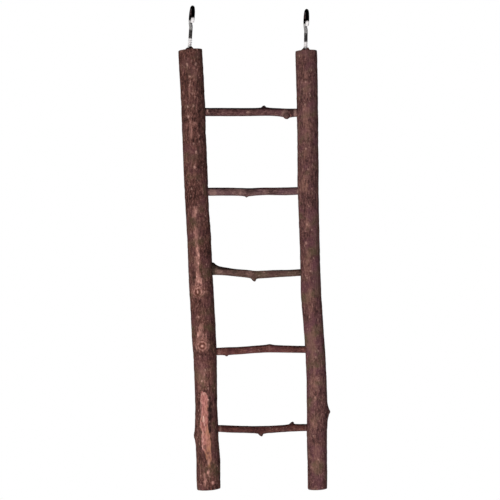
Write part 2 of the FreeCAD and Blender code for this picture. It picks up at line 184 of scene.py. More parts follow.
world = bpy.data.worlds.new("studio")
scene.world = world
world.use_nodes = True
tree = world.node_tree
tree.nodes.clear()
direction = add_node(tree, "TexCoord").outputs["Generated"]
height = add_node(tree, "SeparateXYZ", {0: direction}).outputs["Z"]
away = add_node(tree, "VectorMath", {0: direction, 1: AMBIENT_FROM}, operation="DOT_PRODUCT").outputs["Value"]
glossy = spread(tree, height, *GLOSSY_SWING, kind="SMOOTHSTEP")
ambient = spread(tree, away, *AMBIENT_SWING, kind="SMOOTHSTEP")
shine = add_node(tree, "Background", {"Color": glossy, "Strength": 1.0}).outputs[0]
shade = add_node(tree, "Background", {"Color": ambient, "Strength": AMBIENT_STRENGTH}).outputs[0]
white = add_node(tree, "Background", {"Color": WHITE}).outputs[0]
rays = add_node(tree, "LightPath").outputs
around = mix_shaders(tree, rays["Is Glossy Ray"], shade, shine)
add_node(tree, "OutputWorld", {"Surface": mix_shaders(tree, rays["Is Camera Ray"], around, white)})
print("world nodes:", len(tree.nodes))

# %% Floor
FLOOR_Z = -0.7
FLOOR_RADIUS = 0.74
FLOOR_SIDES = 96
FLOOR_COLOUR = (0.86, 0.86, 0.85, 1)
# Distances from the middle of the hooks between which the camera sees the floor turn white, and how
# white it is before the first
WHITENING = (0.333, 0.74)
LEAST_WHITE = 0.35

floor_mesh = bmesh.new()
bmesh.ops.create_circle(floor_mesh, cap_ends=True, segments=FLOOR_SIDES, radius=FLOOR_RADIUS)
bmesh.ops.translate(floor_mesh, verts=floor_mesh.verts, vec=(0, 0, FLOOR_Z))
floor_data = bpy.data.meshes.new("floor")
floor_mesh.to_mesh(floor_data)
floor_mesh.free()
floor = bpy.data.objects.new("floor", floor_data)
scene.collection.objects.link(floor)
floor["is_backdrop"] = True

floor_paint = bpy.data.materials.new("floor_paint")
floor_paint.use_nodes = True
tree = floor_paint.node_tree
tree.nodes.clear()
place = add_node(tree, "TexCoord").outputs["Object"]
reach = add_node(tree, "VectorMath", {0: place}, operation="LENGTH").outputs["Value"]
rays = add_node(tree, "LightPath").outputs
seen = sums(tree, "MULTIPLY", spread(tree, reach, *WHITENING, LEAST_WHITE), rays["Is Camera Ray"])
whitened = sums(tree, "MAXIMUM", seen, rays["Is Glossy Ray"])
matt = add_node(tree, "BsdfDiffuse", {"Color": FLOOR_COLOUR}).outputs[0]
glow = add_node(tree, "Emission", {"Color": WHITE}).outputs[0]
add_node(tree, "OutputMaterial", {"Surface": mix_shaders(tree, whitened, matt, glow)})
floor_data.materials.append(floor_paint)
print("floor, mm below the hooks:", round(-FLOOR_Z / MM))

# %% [markdown]
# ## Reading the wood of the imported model
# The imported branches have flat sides, few enough for a physics program. A real branch is round and
# rough, so each gets a fine new mesh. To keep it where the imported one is, rays are shot from all
# round at a line through its middle, and each gives the distance of the bark from that line.
# A blur rounds the flat sides off, and what stands proud of the blur, a bud or a knot, is kept.

# %% Bark distances
# How many rows and columns to each side a blur takes in, and the light blur that buds get
BLUR_ROWS = 30
BLUR_COLUMNS = 20
BUD_BLUR = 0.7
# How far out a ray starts, and the share of the length that rays keep away from the ends
RAY_REACH = 20
END_SHARE = 0.012
# A distance below this share of its row's median is a hole
SOUND_SHARE = 0.7
# Where the slant of a sawn end is felt: turns round the middle, and share of the radius
PROBE_TURNS = (0.0, 2.1, 4.2)
PROBE_SHARE = 0.85


def blur(table, row_spread, column_spread):
    """Averages a table over its neighbours: along the stick, and round it without a seam."""
    rows = np.arange(-BLUR_ROWS, BLUR_ROWS + 1)
    columns = np.arange(-BLUR_COLUMNS, BLUR_COLUMNS + 1)
    row_weights = np.exp(-((rows / row_spread) ** 2) / 2)
    column_weights = np.exp(-((columns / column_spread) ** 2) / 2)
    round_it = sum(np.roll(table, step, axis=1) * weight for step, weight in zip(columns, column_weights))
    round_it /= column_weights.sum()
    padded = np.pad(round_it, ((BLUR_ROWS, BLUR_ROWS), (0, 0)), mode="edge")
    along = sum(padded[BLUR_ROWS + step:BLUR_ROWS + step + len(table)] * weight
                for step, weight in zip(rows, row_weights))
    return along / row_weights.sum()


def fill_holes(row):
    """Bridges the places where a hole let the rays through, from the bark on both sides."""
    columns = np.arange(len(row))
    sound = row > SOUND_SHARE * np.median(row)
    return np.interp(columns, columns[sound], row[sound], period=len(row))


class Stick:
    """One packed branch or twig, read as distances of its bark from a straight line."""

    def __init__(self, name, start, end, rows, columns, row_spread, column_spread, proud):
        self.start, self.end = Vector(start), Vector(end)
        self.length = (self.end - self.start).length
        self.along = (self.end - self.start).normalized()
        front = Vector((0, -1, 0))
        self.front = (front - self.along * front.dot(self.along)).normalized()
        self.side = self.front.cross(self.along)
        self.rows, self.columns = rows, columns
        solid = bmesh.new()
        solid.from_mesh(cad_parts[name].data)
        bmesh.ops.scale(solid, vec=(1 / MM,) * 3, verts=solid.verts)
        self.surface = BVHTree.FromBMesh(solid)
        solid.free()
        measured = np.array([[self.measure(row, column) for column in range(columns)]
                             for row in range(rows + 1)])
        measured = np.array([fill_holes(row) for row in measured])
        smooth = blur(measured, row_spread, column_spread)
        self.proud = blur(np.maximum(measured - smooth - proud, 0), BUD_BLUR, BUD_BLUR)
        self.sunk = blur(np.minimum(measured - smooth + proud, 0), BUD_BLUR, BUD_BLUR)
        self.distances = smooth + self.proud + self.sunk
        print(name, "bark, mm from the middle:", self.distances.min().round(2), "to",
              self.distances.max().round(2))

    def outward(self, turn):
        """Gives the direction out of the stick: 0 is the front, a quarter turn is its side."""
        return self.front * math.cos(turn) + self.side * math.sin(turn)

    def measure(self, row, column):
        """Shoots one ray at the middle line and gives how far from it the bark is."""
        share = min(max(row / self.rows, END_SHARE), 1 - END_SHARE)
        middle = self.start.lerp(self.end, share)
        out = self.outward(2 * math.pi * column / self.columns)
        hit = self.surface.ray_cast(middle + out * RAY_REACH, -out, RAY_REACH)[0]
        return (hit - middle).dot(out) if hit else 0.0

    def end_slope(self, far_end):
        """Finds the tilt of the sawn end: its height along the stick, and its two slopes."""
        middle, away = (self.end, self.along) if far_end else (self.start, -self.along)
        rows = []
        for turn in PROBE_TURNS:
            out = self.outward(turn) * self.distances.mean() * PROBE_SHARE
            hit = self.surface.ray_cast(middle + out + away * RAY_REACH, -away, 2 * RAY_REACH)[0]
            rows.append([1, out.dot(self.front), out.dot(self.side), (hit - self.start).dot(self.along)])
        rows = np.array(rows)
        return np.linalg.solve(rows[:, :3], rows[:, 3])


# The middle lines of the rails, from the sawn top to the sawn foot
LEFT_RAIL_TOP = (-32.45, 0.0, -21.5)
LEFT_RAIL_FOOT = (-22.34, 0.0, -262.69)
RIGHT_RAIL_TOP = (31.33, 0.0, -21.95)
RIGHT_RAIL_FOOT = (37.64, 0.0, -262.66)
RAIL_ROWS = 560
RAIL_COLUMNS = 128
# Spread of the blur in rows and in columns, and how far a bud stands proud of it before it is kept
RAIL_BLUR = (3.5, 3.6, 0.22)
left_stick = Stick("left_rail", LEFT_RAIL_TOP, LEFT_RAIL_FOOT, RAIL_ROWS, RAIL_COLUMNS, *RAIL_BLUR)
right_stick = Stick("right_rail", RIGHT_RAIL_TOP, RIGHT_RAIL_FOOT, RAIL_ROWS, RAIL_COLUMNS, *RAIL_BLUR)

# %% [markdown]
# ## A plain stick to start from
# Every branch and twig starts as the same thing: a cylinder, cut into many rings along its length,
# with rings inset in both ends for the end grain. Then each vertex is carried out to the bark.
# Cutting one cylinder with subdivide_edges is quicker than lofting, and the grid runs with the grain,
# so long ridges and streaks come out clean.

# %% Plain stick
CAP_RINGS = 14
# Share of the radius that the rings of an end fill, and how near counts as the same place
CAP_FILLED = 0.98
NEAR = 0.001


def plain_stick(rows, columns):
    """Makes a cylinder of radius 1 along Z, its top at 0 and its foot at -1, in rings."""
    bm = bmesh.new()
    bmesh.ops.create_cone(bm, cap_ends=True, cap_tris=False, segments=columns, radius1=1, radius2=1, depth=1)
    bmesh.ops.translate(bm, verts=bm.verts, vec=(0, 0, -0.5))
    upright = [edge for edge in bm.edges if abs(edge.verts[0].co.z - edge.verts[1].co.z) > 0.5]
    bmesh.ops.subdivide_edges(bm, edges=upright, cuts=rows - 1, use_grid_fill=True)
    step = CAP_FILLED / (CAP_RINGS + 1)
    for cap in [face for face in bm.faces if len(face.verts) > 4]:
        for _ in range(CAP_RINGS):
            bmesh.ops.inset_individual(bm, faces=[cap], thickness=step, use_even_offset=True)
        bmesh.ops.poke(bm, faces=[cap])
    for face in bm.faces:
        face.smooth = True
    for edge in bm.edges:
        on_side = all(abs(vert.co.xy.length - 1) < NEAR for vert in edge.verts)
        at_end = all(min(-vert.co.z, 1 + vert.co.z) < NEAR for vert in edge.verts)
        if on_side and at_end:
            edge.smooth = False
    return bm


sample = plain_stick(8, 12)
print("plain stick sample:", len(sample.verts), "vertices")
sample.free()

# %% [markdown]
# ## Marks on the front of the rails
# What makes this ladder recognisable is its wear and its marks: a long strip where the bark came off
# the left rail, with warmer wood towards its foot, two healed knot eyes, rubbed places, darker
# green-grey places and many small pale spots. The strongest rubbed places of the left rail are
# painted highlights, and most of its dark places are painted shade on its right side. They are
# listed by their height and their place across, in millimetres, as measured on the front of the
# object. Every mark becomes a number at each vertex, and the materials read these numbers later.

# %% Marks
# Stripped patch of the left rail: height, left edge, right edge
STRIPPED_PATCH = [
    (-208.8, -25.6, -23.9), (-210.0, -26.5, -23.0), (-213.5, -26.8, -22.6), (-217.1, -26.0, -22.7),
    (-221.8, -26.4, -22.5), (-224.7, -27.0, -22.1), (-229.4, -26.2, -22.3), (-234.1, -26.0, -21.0),
    (-238.7, -26.2, -20.8), (-241.6, -24.7, -20.7), (-244.8, -23.8, -20.7), (-248.1, -23.0, -21.1),
    (-251.4, -22.4, -21.5),
]
PATCH_TOP = STRIPPED_PATCH[0][0]
LAST_FIBRES = STRIPPED_PATCH[-1][0]
PATCH_MIDDLE = (PATCH_TOP + LAST_FIBRES) / 2
# The patch is worked out a little way past its ends, and it tapers towards its top and its foot
PATCH_REACH = (PATCH_TOP - LAST_FIBRES) / 2 + 3
TOP_TAPER = 0.7
FOOT_TAPER = 0.5
# Where the wood of the patch turns warmer, from the left to the right and from the top down
WARM_ACROSS = (-25.0, -22.8)
WARM_DOWN = (-221.0, -233.0)
# Knot eyes of the left rail: place across, height, size, unevenness
KNOT_EYES = [(-28.1, -154.2, 0.82, 1.1), (-25.65, -183.7, 0.86, 0.5)]
# Rubbed places, where the bark is worn paler, and the strongest ones are painted highlights: place
# across, height, half width, half height, strength
LEFT_RUBBED_AND_PAINTED_HIGHLIGHT = [
    (-28.2, -132.8, 1.0, 5.0, 0.7), (-29.0, -124.0, 1.3, 6.0, 0.5), (-28.3, -139.5, 1.4, 4.5, 0.6),
    (-27.7, -147.5, 1.7, 4.5, 0.8), (-27.8, -151.4, 2.2, 2.4, 1.1), (-26.8, -177.5, 1.7, 5.5, 0.6),
    (-25.4, -183.5, 3.4, 3.4, 0.8), (-29.4, -110.6, 1.6, 3.5, 0.5), (-31.8, -66.0, 0.8, 7.0, 0.45),
    (-30.2, -62.3, 1.8, 0.9, 0.5), (-32.6, -45.0, 0.5, 4.5, 0.5), (-29.6, -34.0, 1.4, 4.0, 0.25),
    (-22.2, -252.7, 0.6, 1.9, 1.1), (-24.3, -254.6, 0.9, 1.4, 0.6), (-24.0, -258.3, 0.7, 2.3, 0.85),
    (-19.8, -258.9, 0.9, 1.4, 1.3), (-26.0, -200.0, 2.2, 8.0, 0.25), (-28.35, -131.1, 0.5, 1.7, 2.0),
    (-27.55, -134.2, 0.5, 1.5, 1.9), (-27.8, -138.6, 0.7, 1.3, 1.4), (-28.5, -145.2, 0.4, 1.8, 1.5),
    (-28.1, -147.8, 1.1, 1.6, 1.4), (-26.2, -149.2, 0.8, 1.9, 1.1), (-28.0, -178.0, 0.5, 3.0, 1.3),
    (-23.5, -179.0, 0.45, 3.0, 1.0), (-25.0, -224.2, 0.6, 1.8, 2.0), (-24.4, -227.0, 0.5, 1.0, 1.6),
    (-26.3, -217.0, 0.3, 7.0, 0.8), (-24.7, -210.0, 1.3, 0.6, 0.8), (-22.5, -213.2, 0.6, 0.5, 1.5),
    (-22.2, -247.0, 0.6, 2.0, 0.9), (-25.4, -236.0, 0.3, 6.0, 0.8), (-30.6, -153.6, 0.6, 1.1, 1.5),
    (-26.0, -153.6, 0.6, 1.5, 1.3), (-24.5, -154.2, 0.45, 1.1, 1.2),
]
RIGHT_RUBBED = [
    (28.8, -31.5, 0.9, 5.5, 0.35), (31.0, -41.0, 2.0, 7.0, 0.35), (31.2, -56.0, 2.4, 4.0, 0.45),
    (31.5, -64.0, 2.2, 6.0, 0.35), (30.8, -79.0, 1.1, 3.0, 0.45), (30.0, -95.5, 2.4, 4.8, 0.6),
    (31.8, -117.0, 1.8, 2.2, 0.5), (32.0, -138.0, 2.2, 9.0, 0.35), (33.2, -160.0, 2.4, 8.0, 0.3),
    (34.4, -182.0, 2.6, 9.0, 0.35), (35.4, -205.0, 2.4, 8.0, 0.4), (35.6, -226.0, 2.2, 4.0, 0.45),
    (36.8, -243.0, 2.4, 9.0, 0.4),
]
# Dark, green-grey places of the bark, given in the same way. Most of those on the left rail lie
# right of its middle, and there they are also painted shade on the side away from the main lamp
LEFT_DARK_AND_PAINTED_SHADE = [
    (-30.2, -147.0, 1.1, 4.5, 0.6), (-21.0, -183.0, 1.8, 8.0, 0.5), (-21.4, -222.0, 1.4, 11.0, 0.9),
    (-20.9, -165.0, 1.6, 7.0, 0.35), (-27.0, -162.0, 2.5, 3.0, 0.35), (-26.5, -246.0, 1.0, 5.0, 0.3),
    (-27.4, -60.0, 1.4, 6.0, 0.4), (-27.6, -42.0, 1.2, 5.0, 0.35), (-27.3, -82.0, 1.4, 7.0, 0.45),
    (-28.0, -94.0, 1.4, 4.0, 0.35), (-26.0, -120.0, 1.3, 8.0, 0.3),
]
RIGHT_SHADED = [
    (36.0, -36.0, 0.9, 6.0, 0.35), (28.6, -60.0, 0.8, 5.0, 0.4), (35.6, -104.0, 1.0, 8.0, 0.3),
    (34.8, -150.0, 1.0, 6.0, 0.3), (33.4, -196.0, 1.0, 6.0, 0.3), (38.6, -216.0, 1.0, 5.0, 0.35),
    (29.0, -34.5, 0.8, 4.0, 0.5), (28.7, -47.0, 0.9, 5.0, 0.5), (34.2, -47.0, 0.9, 9.0, 0.4),
    (33.4, -58.0, 0.7, 3.0, 0.45), (34.4, -74.0, 0.9, 7.0, 0.4), (30.0, -106.0, 0.8, 4.0, 0.4),
    (33.0, -128.0, 0.8, 6.0, 0.35), (31.2, -168.0, 0.8, 6.0, 0.35), (36.6, -172.0, 0.8, 7.0, 0.35),
]
# Pale spots: place across, height, size
LEFT_SPOTS = [
    (-33.8, -30.2, 0.75), (-29.2, -29.8, 0.8), (-32.4, -36.8, 0.5), (-32.4, -41.3, 0.55),
    (-33.6, -53.0, 0.6), (-30.4, -52.6, 0.6), (-33.2, -58.6, 0.8), (-28.9, -78.0, 0.7),
    (-29.8, -86.1, 0.8), (-30.3, -73.5, 0.5), (-31.4, -98.0, 0.5), (-29.0, -110.5, 0.85),
    (-27.6, -168.0, 0.5), (-24.0, -197.0, 0.5), (-25.8, -203.0, 0.6), (-22.4, -207.0, 0.5),
]
RIGHT_SPOTS = [
    (30.9, -39.5, 0.6), (34.0, -33.0, 0.5), (30.6, -52.0, 0.6), (33.5, -47.0, 0.5), (31.0, -76.0, 0.6),
    (34.6, -85.0, 0.5), (31.7, -117.5, 0.6), (31.2, -127.5, 0.7), (33.6, -143.0, 0.5),
    (33.0, -168.0, 0.5), (36.4, -190.0, 0.5), (36.0, -212.0, 0.6), (35.0, -233.0, 0.5),
    (37.8, -246.0, 0.5),
]


def smooth_step(low, high, value):
    """Goes softly from 0 to 1 while the value goes from low to high."""
    share = min(max((value - low) / (high - low), 0.0), 1.0)
    return share * share * (3 - 2 * share)


patch_heights, patch_lefts, patch_rights = (np.array(column) for column in zip(*STRIPPED_PATCH))
# Where the edge of a rubbed or shaded place starts and ends, in shares of its size
RUB_EDGE = (1.25, 0.45)


def in_patch(x, z):
    """Gives how far inside the stripped patch a place is, in millimetres, below 0 outside."""
    left = np.interp(-z, -patch_heights, patch_lefts)
    right = np.interp(-z, -patch_heights, patch_rights)
    return min(x - left, right - x, (z - LAST_FIBRES) * FOOT_TAPER, (PATCH_TOP - z) * TOP_TAPER)


def rubbed(places, x, z, wobble):
    """Gives the strongest of the listed places at one spot of a rail's front."""
    most = 0.0
    for mark_x, mark_z, half_width, half_height, strength in places:
        if abs(z - mark_z) < 2 * half_height:
            reach = math.hypot((x - mark_x) / half_width, (z - mark_z) / half_height) + wobble
            most = max(most, strength * smooth_step(*RUB_EDGE, reach))
    return most


print("rubbed places:", len(LEFT_RUBBED_AND_PAINTED_HIGHLIGHT) + len(RIGHT_RUBBED))
print("pale spots:", len(LEFT_SPOTS) + len(RIGHT_SPOTS))

# %% [markdown]
# ## Carrying the plain stick out to the bark
# A vertex of the plain stick knows its turn, its share of the length and how far out it is. Those
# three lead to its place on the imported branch. A relief function then adds the bark: long ridges,
# shallow cracks and the marks. It pushes the bark itself, so the outline of the rail is rough too,
# and a plain bump in the material couldn't do that.

# %% Carry to the bark
BOX_MARGIN = Vector((0.00002, 0.00002, 0.00002))
inner_low, inner_high = cad_low + BOX_MARGIN, cad_high - BOX_MARGIN
MARK_NAMES = ("ridge", "bare", "rubbed", "spot", "healed", "dark", "cut", "pith", "warm")
# The axis of the grain: the rungs lie along X, and the rails stand along Z
X, Z = 0, 2
# A vertex this far out, as a share of the radius, is on the bark and not on a sawn end
ON_BARK = 0.999


def stretched_noise(point, across, along, axis, seed):
    """Gives a smooth random value whose blobs are longer along one axis."""
    size = [across, across, across]
    size[axis] = along
    return noise.noise(Vector((point.x / size[0] + seed, point.y / size[1] - seed, point.z / size[2])))


def carry_to_bark(stick, bm, relief, overrun=0.0, slopes=None):
    """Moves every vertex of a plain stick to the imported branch, adds the relief and keeps its marks."""
    layers = {name: bm.verts.layers.float.new(name) for name in MARK_NAMES}
    flat = (np.array((0, 0, 0)), np.array((stick.length, 0, 0)))
    first, last = slopes or flat
    for vert in bm.verts:
        x, y, z = vert.co
        turn, reach = math.atan2(y, x), min(math.hypot(x, y), 1.0)
        row = round(-z * stick.rows)
        column = round(turn / (2 * math.pi) * stick.columns) % stick.columns
        out = stick.outward(turn)
        distance = float(stick.distances[row, column])
        tilt = np.array((1, reach * distance * math.cos(turn), reach * distance * math.sin(turn)))
        low, high = first @ tilt - overrun, last @ tilt + overrun
        along = float(low + (high - low) * -z)
        point = stick.start + stick.along * along + out * (distance * reach)
        push, lift, marks = relief(point, turn, reach, row, column)
        point = (point + out * push - stick.along * lift) * MM
        vert.co = [min(max(value, lowest), highest)
                   for value, lowest, highest in zip(point, inner_low, inner_high)]
        for name, value in marks.items():
            vert[layers[name]] = value
    bmesh.ops.recalc_face_normals(bm, faces=bm.faces)


def finished_piece(name, bm, slot, *nodes):
    """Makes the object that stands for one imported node."""
    data = bpy.data.meshes.new(name)
    bm.to_mesh(data)
    bm.free()
    piece = bpy.data.objects.new(name, data)
    scene.collection.objects.link(piece)
    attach(piece, "root")
    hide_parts(*nodes)
    print(name, "triangles:", sum(len(face.vertices) - 2 for face in data.polygons))
    return piece


print("marks at each vertex:", ", ".join(MARK_NAMES))

# %% [markdown]
# ## The bark of the rails
# The bark is young and thin, with fine lengthwise ridges and small raised pores. The pores are
# scattered with a seeded random generator, so that every run gives the same branch. The nearest
# pores of a vertex come from a search tree, because testing all of them at every vertex is slow.

# %% Pores
PORE_SIZES = (0.22, 0.45)
PORE_STRETCH = 1.5
# Where the edge of a pore starts and ends, in shares of its size, and the size of a full-grown one
PORE_EDGE = (1.15, 0.35)
FULL_PORE = 0.5
# How far from a vertex the pores are looked for
PORE_SEARCH = 1.6


def front_point(stick, x, z):
    """Finds the place on the bark that a viewer in front sees at a place across and a height."""
    return stick.surface.ray_cast(Vector((x, -2 * RAY_REACH, z)), Vector((0, 1, 0)), 4 * RAY_REACH)[0]


def scatter_pores(stick, spots, count, seed):
    """Lists the pores: their middles in a search tree, and their sizes."""
    draw = random.Random(seed)
    places, sizes = [], []
    for _ in range(count):
        row, turn = draw.randrange(stick.rows), draw.uniform(0, 2 * math.pi)
        column = round(turn / (2 * math.pi) * stick.columns) % stick.columns
        middle = stick.start.lerp(stick.end, row / stick.rows)
        places.append(middle + stick.outward(turn) * float(stick.distances[row, column]))
        sizes.append(draw.uniform(*PORE_SIZES))
    for x, z, size in spots:
        hit = front_point(stick, x, z)
        if hit:
            places.append(hit)
            sizes.append(size)
    tree = kdtree.KDTree(len(places))
    for index, place in enumerate(places):
        tree.insert(place, index)
    tree.balance()
    return tree, sizes


def pore_height(pores, point, axis):
    """Gives how much of a pore there is at a point, from 0 to 1."""
    tree, sizes = pores
    most = 0.0
    for place, index, _ in tree.find_range(point, PORE_SEARCH):
        gap = point - place
        along = gap[axis] / PORE_STRETCH
        gap[axis] = 0
        reach = math.hypot(gap.length, along) / sizes[index]
        most = max(most, smooth_step(*PORE_EDGE, reach) * min(sizes[index] / FULL_PORE, 1.0))
    return most


left_pores = scatter_pores(left_stick, LEFT_SPOTS, count=330, seed=5)
right_pores = scatter_pores(right_stick, RIGHT_SPOTS, count=240, seed=9)
print("pores:", len(left_pores[1]), "and", len(right_pores[1]))

# %% [markdown]
# ## Healed knots
# Where a side shoot was cut off, the bark has closed over it. Such an eye is a button in the middle,
# a groove of red young bark, a pale collar that is broken at its foot, and above it faint ripples
# where the bark was pushed up. Each is a band at its own distance from the middle, and noise makes
# the bands uneven, so that no ring looks turned on a lathe.

# %% Knot eyes
# Middle and width of each band, in shares of the size of the knot
KNOT_GROOVE = (1.55, 0.52)
KNOT_COLLAR = (2.6, 0.5)
KNOT_GAP = (3.35, 0.3)
KNOT_OUTER = (4.1, 0.4)
# Where the ripples start, how close they follow each other, and where the knot ends
RIPPLE_START = 3.3
RIPPLE_PACE = 4.4
KNOT_REACH = 7.5
# Heights in millimetres
BUTTON_RISE, GROOVE_DEPTH, COLLAR_RISE, OUTER_RISE, RIPPLE_RISE = 0.1, 0.34, 0.2, 0.1, 0.08


def band(value, middle, width):
    """Gives 1 in the middle of a band, and less and less away from it."""
    return math.exp(-(((value - middle) / width) ** 2))


def knot_eye(x, z, eye, wobble):
    """Gives the relief of a healed knot at a place on the front, its paleness and its red bark."""
    eye_x, eye_z, size, unevenness = eye
    away_x, away_z = x - eye_x, z - eye_z
    if math.hypot(away_x, away_z) > KNOT_REACH * size:
        return 0.0, 0.0, 0.0
    reach = math.hypot(away_x, away_z * 0.94) / size + unevenness * wobble
    downward = abs(math.atan2(away_x, away_z)) / math.pi
    button = smooth_step(1.15, 0.6, reach)
    groove = band(reach, *KNOT_GROOVE)
    whole = max(1 - unevenness * smooth_step(0.7, 0.95, downward), 0.0)
    collar = band(reach, *KNOT_COLLAR) * whole * (0.75 + 0.6 * wobble)
    outer = band(reach, *KNOT_OUTER) * smooth_step(0.95, 0.6, downward) * (0.7 + 0.9 * wobble)
    ripple = math.sin((reach - RIPPLE_START) * RIPPLE_PACE + 5 * wobble) * smooth_step(3.2, 3.8, reach)
    ripple *= smooth_step(7.0, 4.0, reach)
    ripple *= smooth_step(-0.5, 1.5, away_z) * (0.8 + 0.8 * wobble)
    push = BUTTON_RISE * button - GROOVE_DEPTH * groove + COLLAR_RISE * collar
    push += OUTER_RISE * outer + RIPPLE_RISE * ripple
    pale = max(button * (0.9 + 0.6 * wobble), 0.8 * collar, 0.6 * outer, 0.6 * ripple, 0.0)
    red = groove * (1 - 0.25 * unevenness * (1 + 2 * wobble))
    healed = max(red, 0.5 * band(reach, *KNOT_GAP), -0.75 * ripple, 0.0)
    return push, min(pale, 1.0), min(healed, 1.0)


print("knot eyes:", len(KNOT_EYES))

# %% [markdown]
# ## Sawn ends and the stripped patch
# The saw left faint lines on both ends of each rail. On top, the screw has raised a torn burr of wood
# round itself, with a dark shade where it goes in. In the stripped patch islands of bark are left,
# loose fibres hang on towards its foot, and the bark curls up into a lip all round.

# %% Sawn ends and stripped patch
# Height of the burr round the screw, and the distances from the screw at which it starts and peaks
BURR_HEIGHT = 1.6
BURR_FOOT = 3.6
BURR_TOP = 0.9
BURR_STEEPNESS = 1.3
# Length of the foot of the patch, where fibres hang on, and how fast the islands of bark grow
# towards it
FIBRE_LENGTH = 16
ISLAND_DRIFT = 0.012
# Place and width of the torn lip, measured from the edge of the patch inwards
LIP = (-0.3, 0.28)


def rail_end(point, reach, on_top, fine, wobble, hook_x, shade_reach):
    """Gives a vertex of a sawn end its saw lines and, on top, the burr round the screw."""
    mound = smooth_step(BURR_FOOT, BURR_TOP, math.hypot(point.x - hook_x, point.y)) ** BURR_STEEPNESS * on_top
    saw = 0.03 * math.sin(point.x * 9.0 + 2 * wobble) + 0.04 * fine
    torn = 1 + (0.45 * wobble + 0.3 * fine) * on_top
    apart = math.hypot(point.x - hook_x + 0.5, point.y) + 0.5 * wobble
    return 0.0, BURR_HEIGHT * mound * torn + saw, {
        "cut": 1 - smooth_step(0.1, 0.35, mound), "pith": reach, "ridge": 0.5 + 0.5 * fine,
        "rubbed": smooth_step(0.05, 0.3, mound),
        "dark": 2 * smooth_step(shade_reach, shade_reach - 0.6, apart) * on_top,
    }


def stripped(point, seen, ridge, wobble):
    """Gives how bare the wood is at a point of the patch, its torn lip and how warm the wood is."""
    if abs(point.z - PATCH_MIDDLE) >= PATCH_REACH:
        return 0.0, 0.0, 0.0
    inside = in_patch(point.x, point.z) + 0.55 * wobble + 0.45 * ridge
    drift = ISLAND_DRIFT * (PATCH_MIDDLE - point.z)
    island = smooth_step(0.3, 0.5, stretched_noise(point, 0.8, 1.9, Z, 6.6) + drift)
    low_end = smooth_step(LAST_FIBRES + FIBRE_LENGTH, LAST_FIBRES, point.z)
    fibres = smooth_step(0.15, -0.25, stretched_noise(point, 0.6, 5.0, Z, 8.1)) * low_end
    bare = smooth_step(-0.14, 0.14, inside) * seen * (1 - 0.75 * island)
    bare *= (1 - 0.5 * fibres) * (1 - 0.28 * low_end)
    warm = smooth_step(*WARM_ACROSS, point.x + 2 * low_end) * smooth_step(*WARM_DOWN, point.z)
    return bare, band(inside, *LIP) * seen, warm * (0.4 + 0.6 * low_end)


print("stripped patch, mm long:", round(PATCH_TOP - LAST_FIBRES, 1))

# %% [markdown]
# ## The rails
# One function puts the ridges, cracks, pores and marks of a rail together. It comes as a function
# that makes a function, so that both rails share it and each has its own marks and roughness.

# %% Rails
BARK_THICKNESS = 0.1
# Heights and depths of what the bark shows, in millimetres
LUMP_RISE, RIDGE_RISE, FINE_RISE, PORE_RISE, CRACK_DEPTH = 0.16, 0.13, 0.06, 0.09, 0.16
BARE_DEPTH, LIP_RISE, FIBRE_RISE = 0.16, 0.09, 0.05
CRACK_WIDTH = 0.16
# How much the rim of a sawn end is rounded, and over how many rows
RIM_ROUNDING = 0.16
RIM_ROWS = 1.2


def rail_relief(stick, hook_x, shade_reach, roughness, pores, patch, eyes, places, shaded_places):
    """Makes the function that gives each vertex of a rail its bark and its marks."""

    def relief(point, turn, reach, row, column):
        lump = stretched_noise(point, 6.0, 15.0, Z, 3.1)
        ridge = stretched_noise(point, 0.85, 3.6, Z, 7.7)
        fine = stretched_noise(point, 0.55, 1.4, Z, 1.9)
        crack = max(0.0, CRACK_WIDTH - abs(stretched_noise(point, 1.5, 5.5, Z, 5.3))) / CRACK_WIDTH
        wobble = stretched_noise(point, 1.3, 2.2, Z, 9.4)
        if reach < ON_BARK:
            return rail_end(point, reach, row == 0, fine, wobble, hook_x, shade_reach)
        seen = smooth_step(0.1, 0.3, math.cos(turn))
        pore = pore_height(pores, point, Z)
        bare, lip, warm = stripped(point, seen, ridge, wobble) if patch else (0.0, 0.0, 0.0)
        eye_push, pale, healed = 0.0, 0.0, 0.0
        for eye in eyes:
            more = knot_eye(point.x, point.z, eye, wobble)
            eye_push += more[0] * seen
            pale, healed = max(pale, more[1] * seen), max(healed, more[2] * seen)
        # Rubbed places make the bark paler, and the strongest ones on the left rail are painted highlights
        worn_and_highlight = rubbed(places, point.x, point.z, 0.7 * wobble + 0.5 * fine) * seen
        worn_and_highlight *= 0.55 + 0.75 * smooth_step(-0.35, 0.4, stretched_noise(point, 0.7, 1.3, Z, 4.2) + 0.5 * ridge)
        # Dark, green-grey places darken the bark, and on the right side of the left rail they are painted
        # shade
        dark_bark_and_painted_shade = rubbed(shaded_places, point.x, point.z, 0.8 * wobble + 0.5 * fine) * seen
        dark_bark_and_painted_shade *= 0.5 + 0.8 * smooth_step(-0.3, 0.4, stretched_noise(point, 0.9, 1.6, Z, 1.2))
        calm = 1 - 0.75 * min(1.0, max(bare, 0.6 * worn_and_highlight, pale + healed))
        bark = RIDGE_RISE * ridge + FINE_RISE * fine - CRACK_DEPTH * crack
        push = BARK_THICKNESS + LUMP_RISE * lump + roughness * calm * bark
        push += roughness * PORE_RISE * pore * calm - BARE_DEPTH * bare + LIP_RISE * lip + eye_push
        push += FIBRE_RISE * ridge * bare
        push -= RIM_ROUNDING * math.exp(-min(row, stick.rows - row) / RIM_ROWS)
        level = 0.5 + 0.5 * ridge + 0.35 * fine - 0.5 * crack
        return push, 0.0, {
            "ridge": min(max(level, 0.0), 1.0), "bare": bare, "rubbed": max(worn_and_highlight, 1.7 * pale), "spot": pore,
            "dark": max(0.4 * lip, dark_bark_and_painted_shade * (1 - pale)), "healed": healed, "warm": warm, "cut": 0.0,
            "pith": 1.0,
        }

    return relief


